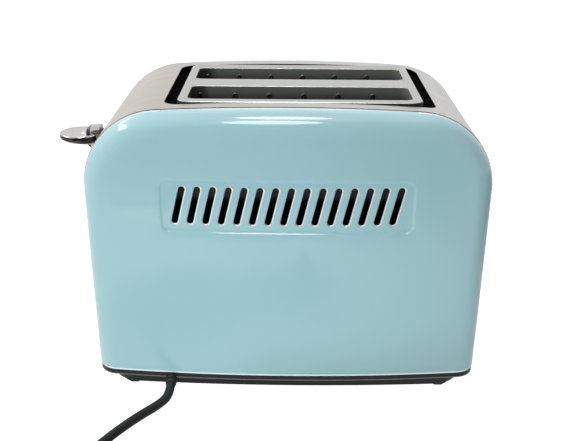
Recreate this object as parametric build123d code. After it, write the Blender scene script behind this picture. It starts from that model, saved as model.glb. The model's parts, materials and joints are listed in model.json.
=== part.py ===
from build123d import *
import math
import os

os.makedirs("parts", exist_ok=True)

# A two-slice pop-up toaster, in millimetres. X runs end to end with the lever at -X, Y across the two slots
# with the vented side at -Y, and Z up from the undersides of the feet. Everything is drawn about the middle
# of the housing and moved at the end, so that the origin is under the middle of lever and housing together.

# ---- housing: the steel wrap and both side panels share one end-to-end outline ----
top_z = 192.0
skirt_z = 13.5
shoulder_drop = 50.5
lever_end_space = 62.95
far_end_space = 48.55
end_lean = 1.4
corner_r = 50.0
crown_r = 1560.0
wrap_half_depth = 64.5
wrap_t = 1.0

# ---- painted side panels: dished pans with a bowed face and a rolled rim ----
panel_depth = 20.8
panel_t = 1.2
panel_step = 0.6
seam_gap = 0.4
rim_r = 14.0
face_plan_r = 1050.0
face_middle_z = 62.0
face_rise_r = 2500.0
barrel_half_length = 160.0
barrel_arc = 14.0
lip_depth = 6.0

# ---- pressed field of slanted vents in one panel ----
field_length = 158.0
field_height = 35.0
field_r = 6.0
field_z = 133.2
field_depth = 1.2
vent_count = 15
vent_pitch = 9.64
vent_width = 4.0
vent_length = 24.9
vent_lean = 13.4
vent_z = 133.8

# ---- toasting wells ----
slot_length = 142.7
slot_width = 32.9
slot_bridge = 20.3
slot_r = 5.0

# ---- opening in the steel top, and the slot plate set in it ----
plate_end_margin = 13.85
plate_side_margin = 11.75
opening_r = 10.0
opening_rim_t = 1.0
seat_depth = 7.0
end_gap = 8.0
side_gap = 2.2
plate_drop = 0.8
plate_t = 1.0
plate_r = 8.0
bead_width = 5.0
bead_height = 1.0
bead_round = 0.9
throat_depth = 11.0
frame_t = 1.2
frame_lap = 3.0
frame_clear = 0.5

# ---- base tray and feet ----
foot_h = 2.5
floor_t = 2.0
base_end_inset = 5.6
base_half_depth = 81.3
base_corner_r = 22.5
base_bow_r = 1400.0
base_draft = 2.5
base_wall = 2.5
base_round = 0.8
ledge_t = 3.5
ledge_inset = 0.5
spigot_h = 6.0
spigot_t = 2.0
spigot_half_depth = 58.0
foot_end_inset = 23.6
foot_y = 69.2
foot_top = (11.0, 9.0)
foot_tip = (6.5, 6.0)
foot_r = 1.8

# ---- chassis ----
end_plate_t = 0.8
end_plate_clear = 7.6
end_plate_half = 62.0
leg_width = 4.6
bridge_z = 16.0
foot_flange = 12.0
rod_bracket_drop = 11.8
rod_bracket_half = 28.0
reflector_t = 0.6
reflector_gap = 5.0
reflector_z = 20.0
screw_r = 1.5
screw_head_r = 3.2
screw_head_h = 1.6
screw_y = 59.0
thread_clear = 0.05

# ---- heating elements ----
mica_t = 0.8
mica_z = 24.0
mica_drop = 5.8
mica_from_slot = 4.1
ribbon_t = 0.3
ribbon_w = 1.2
ribbon_runs = 15
ribbon_pitch = 9.0
ribbon_margin = 8.0

# ---- wire bread guides, hinged along their foot ----
wire_r = 0.9
upright_r = 0.75
pivot_clear = 0.08
guide_pivot_z = 28.0
guide_top_drop = 16.0
guide_tip_drop = 5.5
guide_foot = 9.5
guide_tilt = 2.0
guide_share = 0.1605
guide_shift = 2.8
guide_wires = 7
guide_overhang = 1.0
guide_crown_overhang = 2.0

# ---- bread racks ----
travel = 65.0
rack_z = 100.0
rack_h = 8.0
rack_t = 1.6
finger_width = 14.0
finger_t = 1.6
finger_x = 3.0
rack_slot_clear = 0.7
rack_overhang = 1.6

# ---- carriage and its two guide rods ----
carriage_gap = 2.4
bracket_t = 1.2
bracket_half = 36.0
bracket_z = 98.0
bracket_top = 126.0
neck_half = 12.0
neck_rise = 7.0
lug_reach = 16.5
lug_half = 27.0
lug_t = 2.0
rod_r = 2.0
rod_out = 9.2
rod_y = 20.0
rod_clear = 0.08
rod_end = 4.0
boss_h = 6.0
boss_wall = 3.0
spring_wire = 1.0
spring_r = 4.2
spring_turns = 15

# ---- lever ----
lever_z = 154.0
arm_h = 9.0
arm_t = 2.0
lever_reach = 29.8
knob_r = 14.0
knob_t = 3.6
knob_rise = 1.8
knob_round = 1.0
hub_half = 6.5
hub_h = 16.4
hub_drop = 1.2
hub_gap = 0.9
hub_length = 12.0
hub_shoulder = 7.5
hub_taper = 0.8
hub_nose_half = 4.5
hub_nose_h = 5.6
lever_slot_w = 4.4
lever_slot_slack = 2.2

# ---- latch: armature on the carriage, electromagnet on the floor ----
armature_t = 2.0
armature_length = 16.0
armature_half = 8.0
magnet_out = 23.5
magnet_gap = 0.3
core_w = 16.0
core_leg = 5.0
core_depth = 8.0
core_yoke = 5.0
coil_wall = 2.2
coil_end = 1.2
magnet_boss_h = 8.0
switch_out = 21.0
switch_y = 40.0
switch_size = (12.0, 8.0, 16.0)
contact_h = 6.0
contact_t = 0.4
contact_w = 4.0

# ---- controls in the lever end ----
control_gap = 4.9
control_t = 2.0
control_half = 46.0
control_top = 78.0
board_out = 9.5
board_t = 1.6
board_half = 44.0
board_z = 16.0
post_r = 3.0
post_y = 40.0
dial_z = 62.0
dial_r = 13.0
dial_h = 12.0
dial_gap = 0.6
dial_seat_gap = 0.2
dial_round = 1.2
dial_shaft_r = 3.0
dial_flutes = 20
flute_r = 1.0
pot_r = 8.0
pot_h = 5.0
ring_r = 16.5
ring_t = 1.2
shaft_clear = 0.6
button_z = 33.0
button_pitch = 24.0
button_r = 5.5
button_proud = 2.5
button_round = 0.8
button_collar_r = 6.6
button_collar_t = 1.2
button_collar_gap = 0.6
button_stem_r = 3.6
button_travel = 2.0
button_hole_clear = 0.4
sleeve_wall = 2.0
sleeve_length = 4.5
stem_clear = 0.08
press_gap = 0.3
tact_size = 6.0
tact_h = 1.0
tact_plunger_r = 1.6

# ---- crumb tray, drawn out at the far end ----
tray_half = 54.0
tray_t = 0.8
tray_h = 4.7
tray_clear = 0.3
tray_start_gap = 2.75
tray_gap = 0.5
tray_front_t = 2.6
tray_lip = 4.0
rail_w = 1.6
rail_h = 3.0

# ---- mains cord ----
cord_r = 3.0
gland_x = -76.8
gland_tip = (-86.2, 7.3)
gland_dip = 18.0
gland_length = 24.0
gland_r = 4.0
gland_tip_r = 3.5
gland_taper = 8.0
gland_collar_r = 5.4
gland_collar_at = 12.5
gland_collar_t = 1.6
gland_floor = 3.2
gland_clear = 0.05
cord_lead = 9.0
cord_points = [
    (-82.5, -103.0, 3.0),
    (-92.3, -114.5, 3.0),
    (-102.5, -128.5, 3.0),
    (-111.8, -144.0, 3.0),
]
coil_lead = 12.0
coil_centre = (-101.4, -206.1)
coil_turn_r = 33.5
coil_layers = 2
coil_rows = 2
coil_entry_angle = 155.0
coil_exit_angle = 270.0
coil_stub = 24.0
tail_lead = 11.0
tail_points = [
    (-55.8, -243.0, 6.15),
    (-44.9, -243.5, 5.2),
]
plug_lead = 10.0
plug_tail = (-24.25, -243.8, 8.45)
plug_tilt = 13.3
plug_tail_r = 4.4
plug_grip_r = 9.0
plug_face_r = 18.0
plug_length = 52.0
plug_relief = 24.0
plug_rim = 12.0
plug_waist = 5.0
plug_flare = 1.5
plug_relief_flare = 1.2
plug_round = 1.0
pin_r = 2.4
pin_length = 19.0
pin_pitch = 19.0

# ---- sizes that follow from the ones above ----
big = 400.0
panel_y = wrap_half_depth + panel_depth
well_x = (lever_end_space - far_end_space) / 2
half_length_base = (lever_end_space + slot_length + far_end_space) / 2
half_length_top = half_length_base + end_lean
shoulder_z = top_z - shoulder_drop
seat_z = top_z - seat_depth
plate_z = top_z - plate_drop
throat_z = top_z - throat_depth
opening_length = slot_length + 2 * plate_end_margin
opening_depth = 2 * slot_width + slot_bridge + 2 * plate_side_margin
wall_slope = (half_length_top - half_length_base) / (shoulder_z - skirt_z)
slot_y = (slot_bridge + slot_width) / 2
slot_edge_y = slot_y + slot_width / 2
cut_length = slot_length + 2 * plate_t + 2 * frame_clear
cut_width = slot_width + 2 * plate_t + 2 * frame_clear
floor_z = foot_h + floor_t
ledge_z = skirt_z - ledge_t
base_half_length = half_length_base - base_end_inset
foot_x = half_length_base - foot_end_inset
plate_top = seat_z - frame_t
rod_bracket_z = plate_top - rod_bracket_drop
rod_top = rod_bracket_z + rod_end
mica_top = plate_top - mica_drop
guide_top_z = top_z - guide_top_drop
guide_tip_z = top_z - guide_tip_drop
guide_pitch = slot_length * guide_share
neck_top = lever_z + neck_rise
knob_reach = half_length_top + lever_reach
knob_top_z = lever_z + knob_rise
lever_plate_x = well_x - slot_length / 2 - end_plate_clear
far_plate_x = well_x + slot_length / 2 + end_plate_clear
outer_mica_y = slot_edge_y + mica_from_slot + mica_t / 2
reflector_y = outer_mica_y + mica_t / 2 + reflector_gap
carriage_x = lever_plate_x - end_plate_t - carriage_gap
rod_x = carriage_x - bracket_t - rod_out
magnet_x = carriage_x - magnet_out
magnet_top = bracket_z - armature_t - travel - magnet_gap
origin_x = (half_length_top - knob_reach) / 2
tray_floor_z = floor_z + tray_clear
tray_start = lever_plate_x + tray_start_gap


def wall_x(z):
    # half length of the housing at a height below its shoulders
    return half_length_base + wall_slope * (z - skirt_z)


control_inner_x = wrap_t - wall_x(dial_z)
control_x = control_inner_x + control_gap
board_x = control_x + control_t + board_out


def outline(inset):
    # the housing seen from the long side, shrunk all round; it runs on below the skirt to be cut there
    low_z = -corner_r
    high_z = top_z + corner_r
    corners = [
        (-wall_x(low_z), low_z),
        (wall_x(low_z), low_z),
        (wall_x(high_z), high_z),
        (-wall_x(high_z), high_z),
    ]
    crown = Pos(0, top_z - crown_r) * Circle(crown_r)
    face = Polygon(*corners) & crown
    face = fillet(face.vertices().group_by(Axis.Y)[-1], corner_r)
    return offset(face, -inset) if inset else face


def slab(inset, y_from, y_to):
    # the outline as a solid between two Y values
    return Pos(0, y_to, 0) * extrude(Plane.XZ * outline(inset), y_to - y_from)


def band(z_from, z_to):
    # everything between two heights
    return Pos(0, 0, z_from) * Box(big, big, z_to - z_from, align=(Align.CENTER, Align.CENTER, Align.MIN))


def block(x_from, x_to, y_from, y_to, z_from, z_to):
    lowest = (Align.MIN, Align.MIN, Align.MIN)
    return Pos(x_from, y_from, z_from) * Box(x_to - x_from, y_to - y_from, z_to - z_from, align=lowest)


def rod_along_x(radius, x_from, x_to, y, z):
    return Pos(x_from, y, z) * extrude(Plane.YZ * Circle(radius), x_to - x_from)


def post(radius, x, y, z_from, z_to):
    return Pos(x, y, z_from) * extrude(Circle(radius), z_to - z_from)


def plan_block(length, depth, radius, z_from, z_to):
    # a round-cornered block over the toasting wells
    return Pos(well_x, 0, z_from) * extrude(RectangleRounded(length, depth, radius), z_to - z_from)


def barrel(inset):
    # a round body whose -Y side is the doubly bowed face of the near panel
    face_y = inset - panel_y
    plan_centre = face_plan_r - panel_y
    plan_r = face_plan_r - inset
    end_y = plan_centre - math.sqrt(plan_r**2 - barrel_half_length**2)
    left = (-barrel_half_length, end_y)
    right = (barrel_half_length, end_y)
    bow = ThreePointArc(left, (0, face_y), right)
    back = Polyline(right, (barrel_half_length, lip_depth), (-barrel_half_length, lip_depth), left)
    axle = Axis((0, face_rise_r - panel_y, 0), (1, 0, 0))
    profile = make_face([bow, back]).rotate(axle, -barrel_arc / 2)
    return Pos(0, 0, face_middle_z) * revolve(profile, axle, barrel_arc)


def pan_form(side_inset, face_inset):
    # the near half of the housing, solid, with the rolled rim round its face
    form = slab(side_inset, -panel_y - corner_r, 0) & barrel(face_inset)
    front = form.faces().sort_by(Axis.Y)[0]
    rim = front.edges().filter_by(lambda edge: edge.center().Z > skirt_z)
    return fillet(rim, rim_r - face_inset)


def panel_shell():
    # its back edge steps in to a lip that lies inside the wrap
    back_y = -wrap_half_depth - seam_gap
    shell = pan_form(panel_step, 0) & block(-big, big, -big, back_y, skirt_z, big)
    shell += slab(wrap_t, back_y, lip_depth - wrap_half_depth) & band(skirt_z, top_z)
    return shell - pan_form(panel_step + panel_t, panel_t)


def vented_panel():
    field = RectangleRounded(field_length, field_height, field_r)
    back = RectangleRounded(field_length + 2 * panel_t, field_height + 2 * panel_t, field_r + panel_t)
    sunk = extrude(Plane.XZ * Pos(0, field_z) * field, big) - barrel(field_depth)
    pad = extrude(Plane.XZ * Pos(0, field_z) * back, big) & barrel(panel_t / 2)
    panel = panel_shell() + (pad - barrel(panel_t + field_depth)) - sunk
    for number in range(vent_count):
        x = (number - (vent_count - 1) / 2) * vent_pitch
        vent = SlotOverall(vent_length, vent_width, rotation=90 - vent_lean)
        panel -= extrude(Plane.XZ * Pos(x, vent_z) * vent, big)
    return panel


def plain_panel():
    return mirror(panel_shell(), Plane.XZ)


def lever_slot():
    low = lever_z - arm_h / 2 - travel - lever_slot_slack
    high = lever_z + arm_h / 2 + lever_slot_slack
    stadium = SlotOverall(high - low, lever_slot_w, rotation=90)
    return Pos(-big, 0, 0) * extrude(Plane.YZ * Pos(0, (low + high) / 2) * stadium, big + carriage_x)


def button_places():
    return [((step - 1) * button_pitch, button_z) for step in range(3)]


def steel_wrap():
    wrap = slab(0, -wrap_half_depth, wrap_half_depth) - slab(wrap_t, -big, big)
    wrap &= band(skirt_z, big)
    rim = plan_block(
        opening_length + 2 * opening_rim_t,
        opening_depth + 2 * opening_rim_t,
        opening_r + opening_rim_t,
        seat_z,
        top_z,
    )
    wrap += rim & slab(0, -big, big)
    wrap -= plan_block(opening_length, opening_depth, opening_r, seat_z - 1, big)
    wrap -= lever_slot()
    wrap -= rod_along_x(dial_shaft_r + shaft_clear, -big, control_x, 0, dial_z)
    for y, z in button_places():
        wrap -= rod_along_x(button_r + button_hole_clear, -big, control_x, y, z)
    return wrap


def slot_plate():
    length = opening_length - 2 * end_gap
    depth = opening_depth - 2 * side_gap
    bead_z = plate_z + bead_height
    edge_r = bead_width / 2
    plate = plan_block(length, depth, plate_r, seat_z, bead_z)
    plate = fillet(plate.faces().sort_by(Axis.Z)[-1].edges(), edge_r)
    hollow = plan_block(length - 2 * plate_t, depth - 2 * plate_t, plate_r - plate_t, seat_z - 1, plate_z - plate_t)
    plate -= hollow
    pocket = plan_block(length - 2 * bead_width, depth - 2 * bead_width, plate_r - edge_r, plate_z, big)
    plate -= pocket
    ridge = plate.faces().filter_by(Axis.Z).sort_by(Axis.Z)[-1].inner_wires()[0].edges()
    plate = fillet(ridge, bead_round)
    for side in (-1, 1):
        throat = plan_block(slot_length + 2 * plate_t, slot_width + 2 * plate_t, slot_r + plate_t, throat_z, plate_z)
        plate += Pos(0, side * slot_y, 0) * throat
    for side in (-1, 1):
        plate -= Pos(0, side * slot_y, 0) * plan_block(slot_length, slot_width, slot_r, throat_z - 1, big)
    return plate


def slot_frame():
    length = opening_length + 2 * frame_lap
    depth = opening_depth + 2 * frame_lap
    frame = plan_block(length, depth, opening_r + frame_lap, plate_top, seat_z)
    for side in (-1, 1):
        hole = plan_block(cut_length, cut_width, slot_r + plate_t, plate_top - 1, seat_z + 1)
        frame -= Pos(0, side * slot_y, 0) * hole
    return frame


def base_plan(inset):
    plan = Rectangle(2 * base_half_length, 2 * base_half_depth)
    for side in (-1, 1):
        plan &= Pos(0, side * (base_bow_r - base_half_depth)) * Circle(base_bow_r)
    plan = fillet(plan.vertices(), base_corner_r)
    return offset(plan, -inset) if inset else plan


def gland(growth):
    # tapered strain relief about an axis that dips outwards towards -Y
    at = gland_collar_at
    profile = [
        (0, 0),
        (gland_tip_r + growth, 0),
        (gland_r + growth, gland_taper),
        (gland_r + growth, at),
        (gland_collar_r + growth, at),
        (gland_collar_r + growth, at + gland_collar_t),
        (gland_r + growth, at + gland_collar_t),
        (gland_r + growth, gland_length + growth),
        (0, gland_length + growth),
    ]
    body = revolve(Plane.XZ * Polygon(*profile), Axis.Z)
    body = Pos(gland_x, *gland_tip) * Rot(X=gland_dip - 90) * body
    return body & band(gland_floor - growth, big)


def screw_places():
    feet = foot_flange / 2
    lever_side = lever_plate_x - end_plate_t - feet
    far_side = far_plate_x + end_plate_t + feet
    return [(x, side * screw_y) for x in (lever_side, far_side) for side in (-1, 1)]


def base_tray():
    base = loft([Pos(0, 0, foot_h) * base_plan(base_draft), Pos(0, 0, ledge_z) * base_plan(0)], ruled=True)
    base = fillet(base.faces().sort_by(Axis.Z)[0].edges(), base_round)
    half_ledge = pan_form(ledge_inset, ledge_inset) & band(ledge_z, skirt_z)
    base += half_ledge + mirror(half_ledge, Plane.XZ)
    base -= Pos(0, 0, floor_z) * extrude(base_plan(base_wall + base_draft), big)
    spigot = slab(wrap_t, -spigot_half_depth, spigot_half_depth) - slab(wrap_t + spigot_t, -big, big)
    base += spigot & band(ledge_z, skirt_z + spigot_h)
    mouth = tray_half + tray_gap
    base -= block(far_plate_x, big, -mouth, mouth, floor_z, ledge_z)
    for side in (-1, 1):
        y_from, y_to = sorted((side * mouth, side * (mouth + rail_w)))
        base += block(tray_start, base_half_length - base_wall, y_from, y_to, floor_z, floor_z + rail_h)
        base += post(rod_r + boss_wall, rod_x, side * rod_y, floor_z, floor_z + boss_h)
        base -= post(rod_r + thread_clear, rod_x, side * rod_y, floor_z, floor_z + boss_h)
    half = core_w / 2
    base += block(magnet_x - half, magnet_x + half, -half, half, floor_z, floor_z + magnet_boss_h)
    for x, y in screw_places():
        base -= post(screw_r + thread_clear, x, y, 0, floor_z)
    # the gland's hole leaves its own core as a loose piece, so only the tray is kept
    return (base - gland(gland_clear)).solids().sort_by(SortBy.VOLUME)[-1]


def feet():
    group = []
    for x in (-foot_x, foot_x):
        for y in (-foot_y, foot_y):
            tip = RectangleRounded(*foot_tip, foot_r)
            top = Pos(0, 0, foot_h) * RectangleRounded(*foot_top, foot_r)
            group.append(Pos(x, y, 0) * loft([tip, top]))
    return group


def base_screws():
    group = []
    for x, y in screw_places():
        head = post(screw_head_r, x, y, foot_h - screw_head_h, foot_h)
        head = fillet(head.faces().sort_by(Axis.Z)[0].edges(), screw_head_h / 2)
        group.append(head + post(screw_r, x, y, foot_h, floor_z + 2 * end_plate_t))
    return group


def end_plate(inner_x, side):
    # side is -1 at the lever end, where the plate's feet point to -X, and 1 at the far end
    x_from, x_to = sorted((inner_x, inner_x + side * end_plate_t))
    plate = block(x_from, x_to, -end_plate_half, end_plate_half, floor_z, plate_top)
    leg = end_plate_half - leg_width
    plate -= block(x_from, x_to, -leg, leg, 0, bridge_z)
    outer_x = inner_x + side * (end_plate_t + foot_flange)
    flange_from, flange_to = sorted((inner_x, outer_x))
    for end in (-1, 1):
        y_from, y_to = sorted((end * end_plate_half, end * leg))
        plate += block(flange_from, flange_to, y_from, y_to, floor_z, floor_z + end_plate_t)
    for x, y in screw_places():
        plate -= post(screw_r + thread_clear, x, y, 0, floor_z + 2 * end_plate_t)
    for end in (-1, 1):
        low = rack_z - travel - rack_slot_clear
        high = rack_z + rack_h + rack_slot_clear
        half = rack_t / 2 + rack_slot_clear
        plate -= block(x_from, x_to, end * slot_y - half, end * slot_y + half, low, high)
        for wall in (-1, 1):
            y = end * slot_y + wall * guide_foot
            plate -= rod_along_x(wire_r + pivot_clear, x_from, x_to, y, guide_pivot_z)
    return plate


def lever_end_plate():
    plate = end_plate(lever_plate_x, -1)
    shelf_x = rod_x - rod_r - boss_wall
    half = rod_bracket_half
    plate += block(shelf_x, lever_plate_x, -half, half, rod_bracket_z, rod_bracket_z + 2 * end_plate_t)
    for side in (-1, 1):
        plate -= post(rod_r + thread_clear, rod_x, side * rod_y, rod_bracket_z, rod_top)
    return plate


def reflector(side):
    y_from, y_to = sorted((side * reflector_y, side * (reflector_y + reflector_t)))
    return block(lever_plate_x, far_plate_x, y_from, y_to, reflector_z, plate_top)


def mica_card(y):
    return block(lever_plate_x, far_plate_x, y - mica_t / 2, y + mica_t / 2, mica_z, mica_top)


def ribbon(y, side):
    # one flat wire laid to and fro over a card's face
    face_y = y + side * mica_t / 2
    half = slot_length / 2 - ribbon_margin
    low = (mica_z + mica_top) / 2 - (ribbon_runs - 1) * ribbon_pitch / 2
    path = Sketch()
    for run in range(ribbon_runs):
        z = low + run * ribbon_pitch
        path += Pos(well_x, z) * Rectangle(2 * half, ribbon_w)
        if run:
            turn = half if run % 2 else -half
            path += Pos(well_x + turn, z - ribbon_pitch / 2) * Rectangle(ribbon_w, ribbon_pitch + ribbon_w)
    strip = extrude(Plane.XZ * path, ribbon_t)
    return Pos(0, face_y + (ribbon_t if side > 0 else 0), 0) * strip


def bread_guide(slot, wall):
    # slot is -1 or 1; wall is the side of the slot that the wires stand on
    height = guide_top_z - guide_pivot_z
    length = far_plate_x - lever_plate_x + 2 * (end_plate_t + guide_overhang)
    places = [guide_shift + (step - (guide_wires - 1) / 2) * guide_pitch for step in range(guide_wires)]
    guide = rod_along_x(wire_r, -length / 2, length / 2, 0, 0)
    guide += rod_along_x(wire_r, places[0] - guide_crown_overhang, places[-1] + guide_crown_overhang, 0, height)
    # the uprights stand up into the slot as tips, all but the last, which has no room beside the slot's end
    for x in places[:-1]:
        guide += post(upright_r, x, 0, 0, guide_tip_z - guide_pivot_z)
    guide += post(upright_r, places[-1], 0, 0, height)
    y = slot * slot_y + wall * guide_foot
    return Pos(well_x, y, guide_pivot_z) * Rot(X=-wall * guide_tilt) * guide


def bread_rack(side):
    y = side * slot_y
    end_x = far_plate_x + end_plate_t + rack_overhang
    rack = block(carriage_x, end_x, y - rack_t / 2, y + rack_t / 2, rack_z, rack_z + rack_h)
    top = rack_z + rack_h
    for step in range(guide_wires - 1):
        x = well_x + guide_shift + (step - (guide_wires - 2) / 2) * guide_pitch
        half = finger_width / 2
        rack += block(x - finger_x / 2, x + finger_x / 2, y - half, y + half, top - finger_t, top)
    return rack


def carriage_bracket():
    inner = carriage_x
    outer = carriage_x - bracket_t
    bracket = block(outer, inner, -bracket_half, bracket_half, bracket_z, bracket_top)
    bracket += block(outer, inner, -neck_half, neck_half, bracket_top, neck_top)
    for z in (bracket_z, bracket_top - lug_t):
        bracket += block(outer - lug_reach, inner, -lug_half, lug_half, z, z + lug_t)
    arm_low = lever_z - arm_h / 2
    hub_x = wall_x(shoulder_z) + hub_gap
    bracket += block(-hub_x - hub_length / 2, inner, -arm_t / 2, arm_t / 2, arm_low, arm_low + arm_h)
    reach = magnet_x - armature_length / 2
    bracket += block(reach, inner, -armature_half, armature_half, bracket_z, bracket_z + lug_t)
    for side in (-1, 1):
        bracket -= post(rod_r + rod_clear, rod_x, side * rod_y, bracket_z, bracket_top)
    return bracket


def armature():
    half = armature_length / 2
    return block(magnet_x - half, magnet_x + half, -armature_half, armature_half, bracket_z - armature_t, bracket_z)


def guide_rods():
    return [post(rod_r, rod_x, side * rod_y, floor_z, rod_top) for side in (-1, 1)]


def return_spring():
    low = floor_z + boss_h
    height = bracket_z - low
    pitch = (height - spring_wire) / spring_turns
    path = Helix(pitch, height - spring_wire, spring_r)
    wire = sweep(Plane(path @ 0, z_dir=path % 0) * Rectangle(spring_wire, spring_wire), path, is_frenet=True)
    return Pos(rod_x, -rod_y, low + spring_wire / 2) * wire & band(low, bracket_z)


def lever_knob():
    hub_x = wall_x(shoulder_z) + hub_gap
    centre = -knob_reach + knob_r
    low = knob_top_z - knob_t
    disc = Pos(centre, 0, low) * extrude(Circle(knob_r), knob_t)
    stem = block(centre, -hub_x - hub_length / 2, -hub_nose_half, hub_nose_half, low, knob_top_z)
    disc = fillet((disc + stem).edges().filter_by(GeomType.CIRCLE), knob_round)
    sections = []
    for out, half, height, z in (
        (0, hub_half, hub_h, lever_z - hub_drop),
        (hub_shoulder, hub_half - hub_taper, hub_h - 2 * hub_taper, lever_z - hub_drop),
        (hub_length, hub_nose_half, hub_nose_h, knob_top_z - hub_nose_h / 2),
    ):
        plane = Plane((-hub_x - out, 0, z), x_dir=(0, 1, 0), z_dir=(-1, 0, 0))
        sections.append(plane * RectangleRounded(2 * half, height, height / 4))
    knob = disc + loft(sections, ruled=True)
    arm_low = lever_z - arm_h / 2
    return knob - block(-hub_x - hub_length / 2, 0, -arm_t / 2, arm_t / 2, arm_low, arm_low + arm_h)


def magnet_core():
    half = core_w / 2
    low = floor_z + magnet_boss_h
    deep = core_depth / 2
    core = block(magnet_x - deep, magnet_x + deep, -half, half, low, magnet_top)
    gap = half - core_leg
    return core - block(magnet_x - deep, magnet_x + deep, -gap, gap, low + core_yoke, magnet_top)


def magnet_coils():
    low = floor_z + magnet_boss_h + core_yoke
    high = magnet_top - coil_end
    deep = core_depth / 2
    group = []
    for side in (-1, 1):
        y_from, y_to = sorted((side * core_w / 2, side * (core_w / 2 - core_leg)))
        coil = block(
            magnet_x - deep - coil_wall, magnet_x + deep + coil_wall, y_from - coil_wall, y_to + coil_wall, low, high
        )
        group.append(coil - block(magnet_x - deep, magnet_x + deep, y_from, y_to, low, high))
    return group


def switch_centre_x():
    return carriage_x - switch_out


def power_switch():
    length, depth, height = switch_size
    x = switch_centre_x()
    return block(x - length / 2, x + length / 2, switch_y - depth / 2, switch_y + depth / 2, floor_z, floor_z + height)


def switch_contacts():
    length, depth, height = switch_size
    x = switch_centre_x()
    low = floor_z + height
    group = []
    for side in (-1, 1):
        y = switch_y + side * depth / 4
        group.append(block(x - contact_w / 2, x + contact_w / 2, y, y + contact_t, low, low + contact_h))
    return group


def control_frame():
    frame = block(control_x, control_x + control_t, -control_half, control_half, skirt_z, control_top)
    for y, z in button_places():
        sleeve_end = control_x + control_t + sleeve_length
        frame += rod_along_x(button_stem_r + sleeve_wall, control_x, sleeve_end, y, z)
        frame -= rod_along_x(button_stem_r + stem_clear, control_x, sleeve_end, y, z)
    for y in (-post_y, post_y):
        for z in (board_z + post_r, control_top - post_r):
            frame += rod_along_x(post_r, control_x, board_x, y, z)
    return frame - rod_along_x(dial_shaft_r + shaft_clear, control_x, board_x, 0, dial_z)


def circuit_board():
    return block(board_x, board_x + board_t, -board_half, board_half, board_z, control_top)


def stem_end():
    return control_x + control_t + sleeve_length + press_gap


def tact_switches():
    group = []
    half = tact_size / 2
    for y, z in button_places():
        body = block(board_x - tact_h, board_x, y - half, y + half, z - half, z + half)
        plunger_x = stem_end() + button_travel + press_gap
        group.append(body + rod_along_x(tact_plunger_r, plunger_x, board_x - tact_h, y, z))
    return group


def potentiometer():
    return rod_along_x(pot_r, board_x - pot_h, board_x, 0, dial_z)


def button(place):
    y, z = button_places()[place]
    outer_x = -wall_x(dial_z) - button_proud
    collar_x = control_inner_x + button_collar_gap
    cap = rod_along_x(button_r, outer_x, collar_x, y, z)
    cap = fillet(cap.faces().sort_by(Axis.X)[0].edges(), button_round)
    cap += rod_along_x(button_collar_r, collar_x, collar_x + button_collar_t, y, z)
    return cap + rod_along_x(button_stem_r, collar_x, stem_end(), y, z)


def wall_plane(y, z):
    # on the lever end's outer face, looking out of the housing
    slant = math.atan(wall_slope)
    out = (-math.cos(slant), 0, -math.sin(slant))
    return Plane((-wall_x(z), y, z), x_dir=(0, 1, 0), z_dir=out)


def dial_ring():
    ring = extrude(wall_plane(0, dial_z) * (Circle(ring_r) - Circle(dial_shaft_r + shaft_clear)), ring_t)
    outer = ring.edges().filter_by(GeomType.CIRCLE).sort_by(Axis.X)[0:2].sort_by(SortBy.LENGTH)[-1]
    return fillet(outer, ring_t / 2)


def dial_knob():
    back_x = -wall_x(dial_z) - ring_t - dial_gap
    grip = rod_along_x(dial_r, back_x - dial_h, back_x, 0, dial_z)
    grip = fillet(grip.faces().sort_by(Axis.X)[0].edges(), dial_round)
    for number in range(dial_flutes):
        turn = math.radians((number + 0.5) * 360 / dial_flutes)
        y = (dial_r + flute_r / 2) * math.sin(turn)
        z = dial_z + (dial_r + flute_r / 2) * math.cos(turn)
        grip -= rod_along_x(flute_r, back_x - dial_h, back_x - dial_round, y, z)
    return grip + rod_along_x(dial_shaft_r, back_x, board_x - pot_h - dial_seat_gap, 0, dial_z)


def crumb_tray():
    top = tray_floor_z + tray_h
    front = base_half_length - base_draft
    tray = block(tray_start, front - tray_front_t, -tray_half, tray_half, tray_floor_z, top)
    tray -= block(
        tray_start + tray_t,
        front - tray_front_t - tray_t,
        tray_t - tray_half,
        tray_half - tray_t,
        tray_floor_z + tray_t,
        top,
    )
    tray += block(front - tray_front_t, front, -tray_half, tray_half, tray_floor_z, top)
    return tray + block(front, front + tray_lip, -tray_half / 2, tray_half / 2, tray_floor_z, tray_floor_z + tray_t)


def coil_place(angle, radius, z):
    turn = math.radians(angle)
    return Vector(coil_centre[0] + radius * math.cos(turn), coil_centre[1] + radius * math.sin(turn), z)


def coil_heading(angle):
    turn = math.radians(angle)
    return Vector(-math.sin(turn), math.cos(turn), 0)


coil_r = coil_turn_r + cord_r * (coil_rows - 1)
entry_z = cord_r
exit_z = cord_r * (2 * coil_layers - 1)
entry_at = coil_place(coil_entry_angle, coil_r, entry_z)
entry_start = entry_at - coil_heading(coil_entry_angle) * coil_stub
exit_at = coil_place(coil_exit_angle, coil_r, exit_z)
exit_end = exit_at + coil_heading(coil_exit_angle) * coil_stub


def tube(points):
    # straight runs joined by arcs as large as the runs allow
    points = [Vector(*point) for point in points]
    radii = []
    for before, here, after in zip(points, points[1:], points[2:]):
        shorter = min((here - before).length, (after - here).length)
        turn = math.radians((here - before).get_angle(after - here))
        radii.append(0.45 * shorter / math.tan(turn / 2))
    print("cord arc radii:", [round(radius, 1) for radius in radii])
    path = FilletPolyline(*points, radius=radii)
    solid = sweep(Plane(path @ 0, z_dir=path % 0) * Circle(cord_r), path)
    print("cord run:", round(path.length, 1), "volume over section:", round(solid.volume / (math.pi * cord_r**2), 1))
    return solid


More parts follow.
